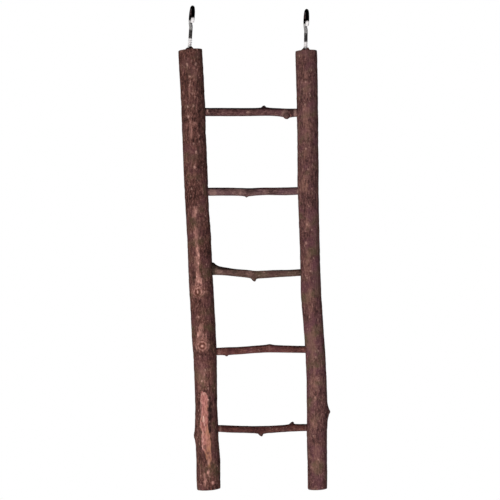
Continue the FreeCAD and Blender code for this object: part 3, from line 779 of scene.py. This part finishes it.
def make_rail(name, stick, **details):
    """Makes one rail from a plain stick."""
    bm = plain_stick(stick.rows, stick.columns)
    slopes = (stick.end_slope(False), stick.end_slope(True))
    carry_to_bark(stick, bm, rail_relief(stick, **details), slopes=slopes)
    return finished_piece(name, bm, "rail_bark", name.replace("_bark", ""))


left_rail = make_rail(
    "left_rail_bark", left_stick, hook_x=-32.85, shade_reach=2.3, roughness=1.0, pores=left_pores,
    patch=True, eyes=KNOT_EYES, places=LEFT_RUBBED_AND_PAINTED_HIGHLIGHT, shaded_places=LEFT_DARK_AND_PAINTED_SHADE,
)
right_rail = make_rail(
    "right_rail_bark", right_stick, hook_x=31.03, shade_reach=1.5, roughness=0.7, pores=right_pores,
    patch=False, eyes=[], places=RIGHT_RUBBED, shaded_places=RIGHT_SHADED,
)

# %% [markdown]
# ## The rungs
# The rungs are thin twigs with buds, cut shoots and knife marks at their ends. They are made in the
# same way as the rails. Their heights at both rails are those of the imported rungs. Each twig runs
# half a millimetre into the bark, so that the joint is closed all round, as glue and torn bark
# close it on the real ladder.

# %% Rungs
# Length of the hidden tenon at each end, where the bark of the twig ends
TENON_LENGTH = 6.6
RUNG_ROWS = 200
RUNG_COLUMNS = 56
RUNG_BLUR = (5.0, 2.4, 0.11)
RUNG_OVERRUN = 0.45
RUNG_PORES = 60
RUNG_SEED = 20
# Bare knife cuts are only looked for in this share of the length at both ends
KNIFE_SHARE = 0.14
# Heights of what the bark of a rung shows, in millimetres
RUNG_LUMP, RUNG_RIDGE, RUNG_FINE, RUNG_PORE = 0.05, 0.055, 0.03, 0.04
# Heights of each rung at the left and at the right rail
RUNG_LEVELS = [(-55.5, -55.8), (-99.35, -98.85), (-142.95, -143.7), (-187.2, -186.1), (-229.55, -229.0)]
# Pale rings and scraped places of each rung: place along it, half length, turn, half turn, strength.
# A half turn of 180 goes all round, and a half length of 40 covers the whole rung.
RUNG_SCRAPES = [
    [(25.2, 0.9, 0.0, 80, 1.1), (-22.9, 0.5, 12, 28, 1.6), (19.5, 2.2, -15, 50, 0.6),
     (-0.8, 0.9, -5, 20, 0.9)],
    [(-4.8, 0.45, 0.0, 180, 0.5), (-20.0, 2.6, -20, 70, 0.6), (27.0, 0.7, -20, 50, 0.8)],
    [(-16.4, 2.2, -5, 35, 0.45), (0.0, 2.2, -30, 45, 0.4), (8.0, 1.0, -10, 25, 0.6)],
    [(-16.4, 0.8, 0.0, 60, 0.4), (11.0, 0.5, 0.0, 180, 0.25)],
    [(-15.8, 0.5, 0.0, 180, 0.4), (30.9, 0.4, 0.0, 100, 0.3)],
]
# Dark places of each rung, given in the same way: dark bark, dark rings at the ends, and painted
# shade along the top and the bottom of every rung (the rows with a half length of 40)
RUNG_DARK_AND_PAINTED_SHADE = [
    [(-24.6, 0.9, 0.0, 180, 0.8), (23.4, 0.9, 0.0, 180, 0.5), (0.0, 40.0, 78, 42, 0.85),
     (0.0, 40.0, -85, 30, 0.5)],
    [(-23.0, 0.7, 0.0, 180, 0.3), (0.0, 40.0, 78, 40, 0.85), (0.0, 40.0, -85, 26, 0.4),
     (1.5, 3.5, 10, 50, 0.6)],
    [(-20.8, 1.2, 0.0, 180, 0.8), (-18.6, 2.4, 70, 55, 0.9), (0.0, 40.0, 78, 42, 0.85),
     (28.0, 1.0, 0.0, 180, 0.5), (0.0, 40.0, -85, 24, 0.3), (-8.0, 1.6, -10, 40, 0.5),
     (-14.0, 6.0, 46, 28, 0.8), (-19.6, 0.8, 0.0, 90, 0.7)],
    [(-18.0, 0.8, 0.0, 180, 0.5), (0.0, 40.0, 78, 34, 0.5), (0.0, 40.0, -85, 32, 0.6),
     (-11.0, 1.6, 0.0, 60, 0.4)],
    [(-14.4, 0.4, 0.0, 180, 0.4), (0.0, 40.0, 78, 36, 0.6), (0.0, 40.0, -85, 28, 0.5)],
]


def strongest(places, point, turn, wobble):
    """Gives the strongest of a rung's scraped or dark places at a point."""
    most = 0.0
    for place, half_length, middle, half_turn, strength in places:
        off = abs((math.degrees(turn) - middle + 180) % 360 - 180) / half_turn if half_turn < 180 else 0.0
        apart = math.hypot((point.x - place) / half_length, off) + 0.4 * wobble
        most = max(most, strength * smooth_step(1.2, 0.6, apart))
    return most


def rung_relief(stick, scrapes, rung_dark_and_painted_shade, pores):
    """Makes the function that gives each vertex of a rung its bark and its marks."""

    def relief(point, turn, reach, row, column):
        lump = stretched_noise(point, 2.6, 7.0, X, 2.3)
        ridge = stretched_noise(point, 0.55, 4.5, X, 6.1)
        fine = stretched_noise(point, 0.42, 1.5, X, 4.9)
        wobble = stretched_noise(point, 0.9, 1.6, X, 8.8)
        if reach < ON_BARK:
            return 0.0, 0.0, {"cut": 1.0, "pith": reach, "ridge": 0.5 + 0.4 * fine}
        pore = pore_height(pores, point, X) * 0.7
        near_end = min(row, stick.rows - row) / stick.rows < KNIFE_SHARE
        bare = smooth_step(0.08, 0.2, -stick.sunk[row, column] + 0.05 * wobble) * near_end
        bud = smooth_step(0.05, 0.35, stick.proud[row, column])
        worn_and_highlight = strongest(scrapes, point, turn, wobble)
        # Dark bark and painted shade, which runs along the top and the bottom of every rung
        dark_bark_and_painted_shade = strongest(rung_dark_and_painted_shade, point, turn, wobble) * max(1 - worn_and_highlight, 0.0)
        bark = RUNG_RIDGE * ridge + RUNG_FINE * fine + RUNG_PORE * pore
        push = BARK_THICKNESS + RUNG_LUMP * lump + (1 - 0.8 * bare) * bark
        level = 0.5 + 0.45 * ridge + 0.3 * fine
        return push, 0.0, {
            "ridge": min(max(level, 0.0), 1.0), "bare": bare, "rubbed": worn_and_highlight, "spot": pore,
            "dark": max(0.55 * bud, dark_bark_and_painted_shade), "cut": 0.0, "pith": 1.0,
        }

    return relief


def make_rung(number, levels, scrapes, rung_dark_and_painted_shade):
    """Makes one rung from a plain stick that reaches from rail to rail."""
    node = "rung_" + str(number)
    low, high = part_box(node)
    start = (low[0] / MM + TENON_LENGTH, 0.0, levels[0])
    end = (high[0] / MM - TENON_LENGTH, 0.0, levels[1])
    stick = Stick(node, start, end, RUNG_ROWS, RUNG_COLUMNS, *RUNG_BLUR)
    bm = plain_stick(stick.rows, stick.columns)
    pores = scatter_pores(stick, [], count=RUNG_PORES, seed=RUNG_SEED + number)
    carry_to_bark(stick, bm, rung_relief(stick, scrapes, rung_dark_and_painted_shade, pores), overrun=RUNG_OVERRUN)
    return finished_piece(node + "_bark", bm, "twig_bark", node)


rung_details = zip(RUNG_LEVELS, RUNG_SCRAPES, RUNG_DARK_AND_PAINTED_SHADE)
rungs = [make_rung(number, *details) for number, details in enumerate(rung_details, start=1)]

# %% [markdown]
# ## The screw hooks
# A screw hook is one piece of wire: a pointed shank with a thread cut in it, a small bend to the
# back, and an open ring. One circle of vertices is extruded up the shank and then spun round the
# middle of each bend, which is how the wire itself is bent. The thread is a ridge that winds round
# the shank, so each ring of vertices on it is pushed out where the ridge passes. Two more numbers at
# each vertex say where the plating is matt and painted white, and where a dark reflection is painted.

# %% Screw hooks
WIRE_SIDES = 32
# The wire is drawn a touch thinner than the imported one
PACKED_WIRE_RADIUS = 1.0
WIRE_RADIUS = 0.985
RING_INNER_RADIUS = 4.05
RING_RADIUS = RING_INNER_RADIUS + PACKED_WIRE_RADIUS
# How far the middle of the ring stands in front of the shank, and how far its tip droops past level
RING_LEAD = 0.8
TIP_DROOP = 43.0
NECK_BEND_RADIUS = 2.0
NECK_STEPS = 10
RING_STEPS = 60
PLAIN_SHANK = 5.2
PLAIN_RINGS = 24
THREAD_LENGTH = 18.0
THREAD_CREST = 1.19
THREAD_CORE = 0.84
THREAD_PITCH = 1.05
THREAD_STEP = 0.09
# Half the width of the thread's ridge as a share of the pitch, and the length over which it runs out
THREAD_RIDGE = 0.3
THREAD_FADE = 1.6
# Length of the point, how much of it is cut off to leave it blunt, and its gap to the bore's end
THREAD_POINT = 2.6
POINT_BLUNT = 0.4
POINT_CLEARANCE = 0.05
# The rings of vertices that round the tip: share of the wire's radius, and step ahead
TIP_RINGS = ((0.93, 0.12), (0.72, 0.12), (0.4, 0.05))
# The two marks at the vertices: matt plating with a painted white reflection, and a painted dark reflection
MATT_AND_PAINTED_WHITE_MARK = "matt_and_painted_white"
PAINTED_DARK_MARK = "painted_dark_reflection"
# Height from the ring's middle, and how much the plating is painted white there, a painted reflection on the
# lower ring and the neck
PAINTED_WHITE_HEIGHTS = (-12.5, -11.6, -7.6, -6.9, -5.2, -4.4, -1.8, -1.2)
PAINTED_WHITE_LEVELS = (0.9, 0.12, 0.12, 0.42, 0.42, 0.85, 0.85, 0.0)
# Depths below the end of the thread between which the plating turns matt and painted white
MATT_WHITE_THREAD = (0.2, 0.8)
# Height from the ring's middle, and how much dark reflection is painted on the plating there: on the neck and
# the crown
PAINTED_DARK_HEIGHTS = (-12.1, -11.4, -8.2, -7.2, -2.0, -1.1)
PAINTED_DARK_LEVELS = (0.0, 0.55, 0.5, 0.0, 0.0, 1.0)


def new_loop(made):
    """Picks the vertices and edges of the last ring out of what an operator made."""
    verts = [item for item in made if isinstance(item, bmesh.types.BMVert)]
    edges = [item for item in made if isinstance(item, bmesh.types.BMEdge)]
    inside = set(verts)
    return verts, [edge for edge in edges if edge.verts[0] in inside and edge.verts[1] in inside]


def raise_loop(bm, edges, step):
    """Extrudes a ring of edges upwards by one step."""
    verts, edges = new_loop(bmesh.ops.extrude_edge_only(bm, edges=edges)["geom"])
    bmesh.ops.translate(bm, verts=verts, vec=(0, 0, step))
    return verts, edges


def bend_wire(bm, verts, edges, middle, degrees, steps):
    """Spins the last ring round the middle of a bend."""
    made = bmesh.ops.spin(
        bm, geom=verts + edges, cent=middle, axis=(1, 0, 0), dvec=(0, 0, 0), angle=math.radians(degrees),
        steps=steps, use_merge=False, use_duplicate=False,
    )
    return new_loop(made["geom_last"])


def thread_radius(height, turn, foot):
    """Gives the radius of the screw at a height and a turn round it."""
    phase = (height / THREAD_PITCH - turn / (2 * math.pi)) % 1.0
    ridge = max(0.0, 1 - abs(phase - 0.5) / THREAD_RIDGE)
    fade = smooth_step(foot + THREAD_LENGTH, foot + THREAD_LENGTH - THREAD_FADE, height)
    core = WIRE_RADIUS + (THREAD_CORE - WIRE_RADIUS) * fade
    point = smooth_step(foot - POINT_BLUNT, foot + THREAD_POINT, height)
    return (core + (THREAD_CREST - core) * ridge * fade) * point


def raise_shank(bm, foot, top):
    """Raises the thread and the plain shank above it from one circle, and gives the last ring."""
    bmesh.ops.create_circle(bm, cap_ends=True, segments=WIRE_SIDES, radius=WIRE_RADIUS)
    bmesh.ops.translate(bm, verts=bm.verts, vec=(0, 0, foot + POINT_CLEARANCE))
    verts, edges = list(bm.verts), list(bm.edges)
    for _ in range(round(THREAD_LENGTH / THREAD_STEP)):
        verts, edges = raise_loop(bm, edges, THREAD_STEP)
    for vert in bm.verts:
        turn = math.atan2(vert.co.y, vert.co.x)
        wanted = thread_radius(vert.co.z, turn, foot)
        vert.co.x, vert.co.y = wanted * math.cos(turn), wanted * math.sin(turn)
    plain_step = (top - verts[0].co.z) / PLAIN_RINGS
    for _ in range(PLAIN_RINGS):
        verts, edges = raise_loop(bm, edges, plain_step)
    return verts, edges


def round_tip(bm, edges):
    """Closes the end of the wire with a few smaller rings and a face."""
    forward = math.radians(180 + TIP_DROOP)
    ahead = Vector((0, -math.sin(forward), math.cos(forward)))
    for size, step in TIP_RINGS:
        verts, edges = new_loop(bmesh.ops.extrude_edge_only(bm, edges=edges)["geom"])
        middle = sum((vert.co for vert in verts), Vector()) / len(verts)
        widest = max((vert.co - middle).length for vert in verts)
        for vert in verts:
            vert.co = middle + (vert.co - middle) * (size * WIRE_RADIUS / widest) + ahead * step
    bmesh.ops.contextual_create(bm, geom=edges)


def screw_hook():
    """Makes one hook with its ring's middle at the origin's height, in millimetres."""
    bend = math.degrees(math.acos((NECK_BEND_RADIUS + RING_LEAD) / (RING_RADIUS + NECK_BEND_RADIUS)))
    neck_height = math.sqrt((RING_RADIUS + NECK_BEND_RADIUS) ** 2 - (NECK_BEND_RADIUS + RING_LEAD) ** 2)
    foot = -neck_height - PLAIN_SHANK - THREAD_LENGTH
    thread_end = foot + THREAD_LENGTH
    bm = bmesh.new()
    matt_and_painted_white = bm.verts.layers.float.new(MATT_AND_PAINTED_WHITE_MARK)
    painted_dark_reflection = bm.verts.layers.float.new(PAINTED_DARK_MARK)
    verts, edges = raise_shank(bm, foot, -neck_height)
    verts, edges = bend_wire(bm, verts, edges, (0, NECK_BEND_RADIUS, -neck_height), -bend, NECK_STEPS)
    verts, edges = bend_wire(bm, verts, edges, (0, -RING_LEAD, 0), bend + 180 + TIP_DROOP, RING_STEPS)
    round_tip(bm, edges)
    # Each vertex gets how much white and how much dark reflection is painted on the plating there
    for vert in bm.verts:
        on_thread = smooth_step(thread_end - MATT_WHITE_THREAD[0], thread_end - MATT_WHITE_THREAD[1], vert.co.z)
        vert[matt_and_painted_white] = max(on_thread, float(np.interp(vert.co.z, PAINTED_WHITE_HEIGHTS, PAINTED_WHITE_LEVELS)))
        vert[painted_dark_reflection] = float(np.interp(vert.co.z, PAINTED_DARK_HEIGHTS, PAINTED_DARK_LEVELS))
    for face in bm.faces:
        face.smooth = True
    return bm


def place_hook(name, node, ring_middle, lean, turn):
    """Turns and leans a hook and sets it at its ring's middle."""
    bm = screw_hook()
    spin = Matrix.Rotation(math.radians(lean), 3, "Y") @ Matrix.Rotation(math.radians(turn), 3, "Z")
    for vert in bm.verts:
        vert.co = (spin @ vert.co + Vector(ring_middle)) * MM
        vert.co.z = min(vert.co.z, inner_high.z)
    bmesh.ops.recalc_face_normals(bm, faces=bm.faces)
    return finished_piece(name, bm, "hook_steel", node)


left_hook = place_hook(
    "left_hook_wire", "left_hook", ring_middle=(-31.661, 0, -3.092), lean=3.7, turn=10.0,
)
right_hook = place_hook(
    "right_hook_wire", "right_hook", ring_middle=(31.329, 0, -4.999), lean=1.0, turn=5.0,
)

# %% [markdown]
# ## Finishes
# All the wood shares the same few effects: the skin of the bark, bare wood where the bark is gone,
# and the sawn end grain. Each is a node group that is built once, with its own inputs, and every
# material gives it its own colours. The groups read Object coordinates, stretched along the grain,
# and the numbers that were left at the vertices. The shaders themselves stay in the materials.

# %% Colour and grain helpers
# Object coordinates are in metres. Times this, one step of a noise is a millimetre.
MILLIMETRES = (1000, 1000, 1000)


def paint(red, green, blue):
    """Turns a colour as a paint chip shows it, 0 to 255, into what a shader takes."""
    chips = (red / 255, green / 255, blue / 255)
    return tuple(((chip + 0.055) / 1.055) ** 2.4 if chip > 0.04 else chip / 12.92 for chip in chips) + (1.0,)


def blend(tree, share, first, second):
    """Mixes two colours and gives the result."""
    return add_node(tree, "Mix", {0: share, 6: first, 7: second}, data_type="RGBA").outputs[2]


def between(tree, share, first, second):
    """Mixes two numbers and gives the result."""
    return add_node(tree, "Mix", {0: share, 2: first, 3: second}).outputs[0]


def grain_noise(tree, grain, scale, detail, roughness):
    """Adds noise in millimetres, stretched as the grain vector says."""
    place = add_node(tree, "TexCoord").outputs["Object"]
    stretched = add_node(tree, "VectorMath", {0: place, 1: grain}, operation="MULTIPLY").outputs[0]
    texture = {"Vector": stretched, "Scale": scale, "Detail": detail, "Roughness": roughness}
    return add_node(tree, "TexNoise", texture).outputs["Fac"]


def new_group(name, takes, gives):
    """Starts a node group with named inputs and outputs."""
    group = bpy.data.node_groups.new(name, "ShaderNodeTree")
    for side, sockets in (("INPUT", takes), ("OUTPUT", gives)):
        for socket_name, kind in sockets:
            group.interface.new_socket(name=socket_name, in_out=side, socket_type="NodeSocket" + kind)
    return group, group.nodes.new("NodeGroupInput").outputs, group.nodes.new("NodeGroupOutput").inputs


def new_material(name):
    """Starts a material and gives it with its node tree and its shader."""
    material = bpy.data.materials.new(name)
    material.use_nodes = True
    return material, material.node_tree, material.node_tree.nodes["Principled BSDF"]


print("colour and grain helpers ready")

# %% [markdown]
# ### Bark skin
# Bark isn't one brown. Ridges are dry and pale, the furrows between them are dark, some places have
# a green-grey bloom and others a purple one. The ridge number at each vertex ties the streaks of
# colour to the real ridges of the mesh, and finer noise goes on where the mesh ends.

# %% Bark skin group
# Steps of the noise for each metre along X, Y and Z: clouds are wide, specks a little upright
CLOUD_GRAIN = (640, 640, 640)
SPECK_GRAIN = (1000, 1000, 800)
# What is taken off the sum of the layers, so that the tone lies between furrow and crest
TONE_SHIFT = 1.065
bark_skin, given, out = new_group(
    "bark_skin",
    [("Grain", "Vector"), ("Furrow", "Color"), ("Middle", "Color"), ("Crest", "Color"), ("Bloom", "Color"),
     ("Bloom Amount", "Float"), ("Flush", "Color"), ("Pore", "Color"), ("Ridge Mark", "Float"),
     ("Pore Mark", "Float")],
    [("Color", "Color"), ("Roughness", "Float"), ("Height", "Float")],
)
streak = grain_noise(bark_skin, given["Grain"], scale=1.3, detail=6.0, roughness=0.65)
hair = grain_noise(bark_skin, given["Grain"], scale=2.2, detail=3.0, roughness=0.6)
patch = grain_noise(bark_skin, MILLIMETRES, scale=0.13, detail=3.0, roughness=0.55)
cloud = grain_noise(bark_skin, CLOUD_GRAIN, scale=0.21, detail=3.0, roughness=0.55)
speck = grain_noise(bark_skin, SPECK_GRAIN, scale=1.5, detail=4.0, roughness=0.7)
tone = sums(bark_skin, "MULTIPLY", streak, 0.65)
for layer, weight in ((given["Ridge Mark"], 0.34), (hair, 0.65), (patch, 0.65), (speck, 0.85)):
    tone = sums(bark_skin, "MULTIPLY_ADD", layer, weight, tone)
tone = sums(bark_skin, "SUBTRACT", tone, TONE_SHIFT)
# Each spread gives the range of a noise over which one colour goes over into the next
deep = blend(bark_skin, spread(bark_skin, tone, 0.2, 0.5), given["Furrow"], given["Middle"])
colour = blend(bark_skin, spread(bark_skin, tone, 0.5, 0.86), deep, given["Crest"])
bloom = sums(bark_skin, "MULTIPLY", spread(bark_skin, patch, 0.5, 0.66), given["Bloom Amount"])
colour = blend(bark_skin, bloom, colour, given["Bloom"])
colour = blend(bark_skin, spread(bark_skin, cloud, 0.48, 0.66, 0.0, 0.6), colour, given["Flush"])
pale_speck = spread(bark_skin, speck, 0.6, 0.72, 0.0, 0.6)
colour = blend(bark_skin, pale_speck, colour, given["Pore"])
pore_share = sums(bark_skin, "MULTIPLY", given["Pore Mark"], spread(bark_skin, speck, 0.4, 0.6, 0.35, 1.0))
colour = blend(bark_skin, pore_share, colour, given["Pore"])
bark_skin.links.new(colour, out["Color"])
bark_skin.links.new(spread(bark_skin, tone, 0.2, 0.9, 0.92, 0.7), out["Roughness"])
height = sums(bark_skin, "MULTIPLY_ADD", speck, 0.35, sums(bark_skin, "MULTIPLY_ADD", hair, 0.5, streak))
bark_skin.links.new(height, out["Height"])
print("bark skin nodes:", len(bark_skin.nodes))

# %% [markdown]
# ### Bare wood and sawn ends
# Where the bark is gone the young wood is pink and shows long fibres. A sawn end shows rings round
# the pith: the pith number runs from 0 in the middle to 1 at the bark, so a wave of it draws rings
# that follow the outline of this branch, which a round wood texture wouldn't.

# %% Bare wood group
bare_wood, given, out = new_group(
    "bare_wood",
    [("Grain", "Vector"), ("Pale", "Color"), ("Deep", "Color"), ("Warm", "Color"), ("Warm Mark", "Float")],
    [("Color", "Color"), ("Roughness", "Float"), ("Height", "Float")],
)
fibre = grain_noise(bare_wood, given["Grain"], scale=1.9, detail=5.0, roughness=0.6)
cloud = grain_noise(bare_wood, MILLIMETRES, scale=0.22, detail=2.0, roughness=0.5)
colour = blend(bare_wood, spread(bare_wood, fibre, 0.38, 0.58), given["Deep"], given["Pale"])
warmth = sums(bare_wood, "MULTIPLY", given["Warm Mark"], spread(bare_wood, fibre, 0.36, 0.6, 0.35, 0.95))
warmth = sums(bare_wood, "ADD", warmth, spread(bare_wood, cloud, 0.46, 0.66, 0.0, 0.45))
colour = blend(bare_wood, warmth, colour, given["Warm"])
bare_wood.links.new(colour, out["Color"])
bare_wood.links.new(spread(bare_wood, fibre, 0.3, 0.7, 0.78, 0.6), out["Roughness"])
bare_wood.links.new(fibre, out["Height"])
print("bare wood nodes:", len(bare_wood.nodes))

# %% Sawn end group
sawn_end, given, out = new_group(
    "sawn_end",
    [("Pith Mark", "Float"), ("Rings", "Float"), ("Pale", "Color"), ("Deep", "Color"), ("Rim", "Color")],
    [("Color", "Color"), ("Height", "Float")],
)
rough = grain_noise(sawn_end, MILLIMETRES, scale=0.9, detail=5.0, roughness=0.6)
turns = sums(sawn_end, "MULTIPLY", given["Pith Mark"], given["Rings"])
ring = sums(sawn_end, "FRACT", sums(sawn_end, "MULTIPLY_ADD", rough, 0.5, turns), 0.0)
colour = blend(sawn_end, spread(sawn_end, ring, 0.55, 0.95, 0.0, 0.7), given["Pale"], given["Deep"])
colour = blend(sawn_end, spread(sawn_end, rough, 0.5, 0.7, 0.0, 0.6), colour, given["Deep"])
colour = blend(sawn_end, spread(sawn_end, given["Pith Mark"], 0.12, 0.05), colour, given["Deep"])
colour = blend(sawn_end, spread(sawn_end, given["Pith Mark"], 0.86, 0.9), colour, given["Rim"])
sawn_end.links.new(colour, out["Color"])
sawn_end.links.new(sums(sawn_end, "MULTIPLY_ADD", ring, 0.4, rough), out["Height"])
print("sawn end nodes:", len(sawn_end.nodes))

# %% [markdown]
# ### Wood materials
# One function lays the three effects over each other, so rails and rungs differ only in their
# colours and in the direction of their grain. The order is the order of the real surface: bark
# first, then where it is rubbed thin, with a highlight painted on its strongest places, then bare
# wood, then the sawn ends. The dark mark goes on last, darker bark together with painted shade.

# %% Wood materials
# Steps of the grain noise for each metre: fewer along the grain draw it out into streaks
ALONG_Z = (1000, 1000, 300)
ALONG_X = (240, 1000, 1000)
DEEP_SHADE = paint(20, 12, 12)
# A highlight painted over the strongest rubbed places, on bark and on bare wood
PAINTED_HIGHLIGHT = paint(222, 182, 168)
HEALED_RED = paint(80, 37, 27)
# Roughness where the bark is rubbed thin, how much the wood mirrors, and its bump in metres
THIN_ROUGHNESS = 0.5
WOOD_SPECULAR = 0.25
BUMP_HEIGHT = 0.00025
SKIN_INPUTS = ("Furrow", "Middle", "Crest", "Bloom", "Bloom Amount", "Flush", "Pore")


def wood_material(name, grain, skin, rubbed_colour, wood, ends, rings, bump):
    """Makes the material of one branch or twig."""
    material, tree, shader = new_material(name)
    marks = {mark: add_node(tree, "Attribute", attribute_name=mark).outputs["Fac"] for mark in MARK_NAMES}
    bark = add_node(tree, "Group", {
        "Grain": grain, "Ridge Mark": marks["ridge"], "Pore Mark": marks["spot"],
        **dict(zip(SKIN_INPUTS, skin)),
    }, node_tree=bark_skin).outputs
    bare = add_node(tree, "Group", {
        "Grain": grain, "Pale": wood[0], "Deep": wood[1], "Warm": wood[2], "Warm Mark": marks["warm"],
    }, node_tree=bare_wood).outputs
    sawn = add_node(tree, "Group", {
        "Pith Mark": marks["pith"], "Rings": rings, "Pale": ends[0], "Deep": ends[1], "Rim": ends[2],
    }, node_tree=sawn_end).outputs
    thin_and_highlight = sums(tree, "MULTIPLY", marks["rubbed"], spread(tree, bark["Height"], 0.7, 1.1, 0.45, 1.0))
    # Rubbed bark turns paler, and over its strongest places a highlight is painted
    colour = blend(tree, thin_and_highlight, bark["Color"], rubbed_colour)
    colour = blend(tree, spread(tree, thin_and_highlight, 0.95, 1.5, 0.0, 0.8), colour, PAINTED_HIGHLIGHT)
    # Rubbed bare wood gets a painted highlight too
    painted_highlight_on_bare = spread(tree, marks["rubbed"], 0.0, 1.8, 0.0, 0.85)
    colour = blend(tree, marks["bare"], colour, blend(tree, painted_highlight_on_bare, bare["Color"], PAINTED_HIGHLIGHT))
    colour = blend(tree, marks["healed"], colour, HEALED_RED)
    colour = blend(tree, marks["cut"], colour, sawn["Color"])
    # The dark mark paints darker bark and buds, and painted shade: along the tops and the bottoms of the
    # rungs, on the right side of the left rail and round the foot of each screw
    colour = blend(tree, marks["dark"], colour, skin[0])
    colour = blend(tree, sums(tree, "SUBTRACT", marks["dark"], 1.0, clamp=True), colour, DEEP_SHADE)
    rough = between(tree, thin_and_highlight, bark["Roughness"], THIN_ROUGHNESS)
    rough = between(tree, marks["bare"], rough, bare["Roughness"])
    height = between(tree, marks["bare"], bark["Height"], bare["Height"])
    height = between(tree, marks["cut"], height, sawn["Height"])
    bumpy = add_node(tree, "Bump", {"Height": height, "Strength": bump, "Distance": BUMP_HEIGHT})
    tree.links.new(colour, shader.inputs["Base Color"])
    tree.links.new(rough, shader.inputs["Roughness"])
    tree.links.new(bumpy.outputs["Normal"], shader.inputs["Normal"])
    shader.inputs["Specular IOR Level"].default_value = WOOD_SPECULAR
    return material


print("wood marks read by each material:", len(MARK_NAMES))

# %% [markdown]
# ### Colours of the wood
# Both rails are the same young wood. The left one is warmer and has more contrast, the right one is
# greyer, and each rung is a twig with browns of its own. A skin lists its colours from the furrow to
# the crest, then the bloom and how much of it there is, the flush and the pores.

# %% Colours of the wood
BARE_PINK = (paint(184, 125, 117), paint(124, 74, 68), paint(172, 122, 94))
SAWN_BROWN = (paint(168, 128, 100), paint(122, 84, 64), paint(66, 44, 38))
# Bark that is rubbed thin: left rail, right rail and rungs
LEFT_WORN, RIGHT_WORN, RUNG_WORN = paint(188, 136, 124), paint(150, 108, 94), paint(150, 118, 110)
LEFT_SKIN = (
    paint(42, 25, 23), paint(94, 60, 54), paint(156, 111, 101), paint(72, 61, 42), 0.75,
    paint(94, 58, 61), paint(182, 142, 130),
)
RIGHT_SKIN = (
    paint(52, 33, 33), paint(99, 66, 63), paint(154, 114, 107), paint(81, 69, 50), 0.75,
    paint(101, 63, 72), paint(172, 134, 122),
)
RUNG_PALE = paint(146, 118, 108)
RUNG_SKINS = [
    (paint(44, 28, 28), paint(86, 57, 56), paint(132, 96, 92), paint(80, 64, 52), 0.2, paint(88, 56, 62)),
    (paint(48, 32, 32), paint(96, 70, 69), paint(146, 112, 108), paint(90, 76, 64), 0.3, paint(96, 68, 76)),
    (paint(42, 31, 27), paint(89, 67, 59), paint(134, 106, 97), paint(84, 76, 57), 0.6, paint(88, 60, 60)),
    (paint(52, 29, 28), paint(93, 56, 52), paint(126, 82, 75), paint(82, 62, 50), 0.2, paint(96, 55, 60)),
    (paint(42, 24, 23), paint(77, 44, 41), paint(114, 70, 62), paint(74, 58, 46), 0.2, paint(74, 47, 49)),
]
left_rail.data.materials.append(wood_material(
    "left_rail_wood", ALONG_Z, LEFT_SKIN, LEFT_WORN, BARE_PINK, SAWN_BROWN, rings=9.0, bump=0.35,
))
right_rail.data.materials.append(wood_material(
    "right_rail_wood", ALONG_Z, RIGHT_SKIN, RIGHT_WORN, BARE_PINK, SAWN_BROWN, rings=8.0, bump=0.28,
))
for number, (rung, skin) in enumerate(zip(rungs, RUNG_SKINS), start=1):
    rung.data.materials.append(wood_material(
        "rung_wood_" + str(number), ALONG_X, (*skin, RUNG_PALE), RUNG_WORN, BARE_PINK, SAWN_BROWN,
        rings=4.0, bump=0.25,
    ))
print("wood materials:", 2 + len(rungs))

# %% [markdown]
# ### Plated steel
# The hooks are steel wire with a bright plating. On the lower half of the rings a white reflection
# is painted, and the threads are matt and painted white, so there it reflects less and scatters
# more. On the crowns and the necks a dark reflection is painted. The two marks at the vertices say
# where. A haze makes the bright parts uneven, and fine scratches from drawing the wire are left to a
# bump.

# %% Hook plating
DULL_ROUGHNESS = 0.42
NON_METAL_SHARE = 0.85
PLATE_BRIGHT = paint(226, 224, 221)
PLATE_GREY = paint(196, 190, 184)
# Colours of the painted reflections: white on the lower ring and the matt thread, dark on the crown and the
# neck
PAINTED_WHITE = paint(253, 251, 251)
PAINTED_DARK_REFLECTION = paint(64, 48, 48)
SCRATCH_STRENGTH = 0.06
SCRATCH_HEIGHT = 0.00005
plating, tree, shader = new_material("hook_plating")
haze = grain_noise(tree, MILLIMETRES, scale=0.5, detail=4.0, roughness=0.6)
scratch = grain_noise(tree, MILLIMETRES, scale=5.0, detail=2.0, roughness=0.5)
matt_and_painted_white = add_node(tree, "Attribute", attribute_name=MATT_AND_PAINTED_WHITE_MARK).outputs["Fac"]
painted_dark_reflection = add_node(tree, "Attribute", attribute_name=PAINTED_DARK_MARK).outputs["Fac"]
plate = blend(tree, spread(tree, haze, 0.4, 0.75), PLATE_BRIGHT, PLATE_GREY)
# Dark and white reflections are painted into the colour of the plating
plate = blend(tree, matt_and_painted_white, blend(tree, painted_dark_reflection, plate, PAINTED_DARK_REFLECTION), PAINTED_WHITE)
rough = sums(tree, "MULTIPLY_ADD", matt_and_painted_white, DULL_ROUGHNESS, spread(tree, haze, 0.3, 0.7, 0.06, 0.16))
# Where white is painted, the plating is made less of a metal, so that the painted white shows
metal = sums(tree, "MULTIPLY_ADD", matt_and_painted_white, -NON_METAL_SHARE, 1.0)
scratches = {"Height": scratch, "Strength": SCRATCH_STRENGTH, "Distance": SCRATCH_HEIGHT}
tree.links.new(plate, shader.inputs["Base Color"])
tree.links.new(rough, shader.inputs["Roughness"])
tree.links.new(metal, shader.inputs["Metallic"])
tree.links.new(add_node(tree, "Bump", scratches).outputs["Normal"], shader.inputs["Normal"])
for hook in (left_hook, right_hook):
    hook.data.materials.append(plating)
print("plating nodes:", len(tree.nodes))

# %% [markdown]
# ## Finish
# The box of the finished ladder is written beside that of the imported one. They have to agree,
# because the looks never change the size.

# %% Sizes and finish
visual_low, visual_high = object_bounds()
room = (*(visual_low - cad_low), *(cad_high - visual_high))
print("room left in the box, mm:", [round(gap / MM, 3) for gap in room])
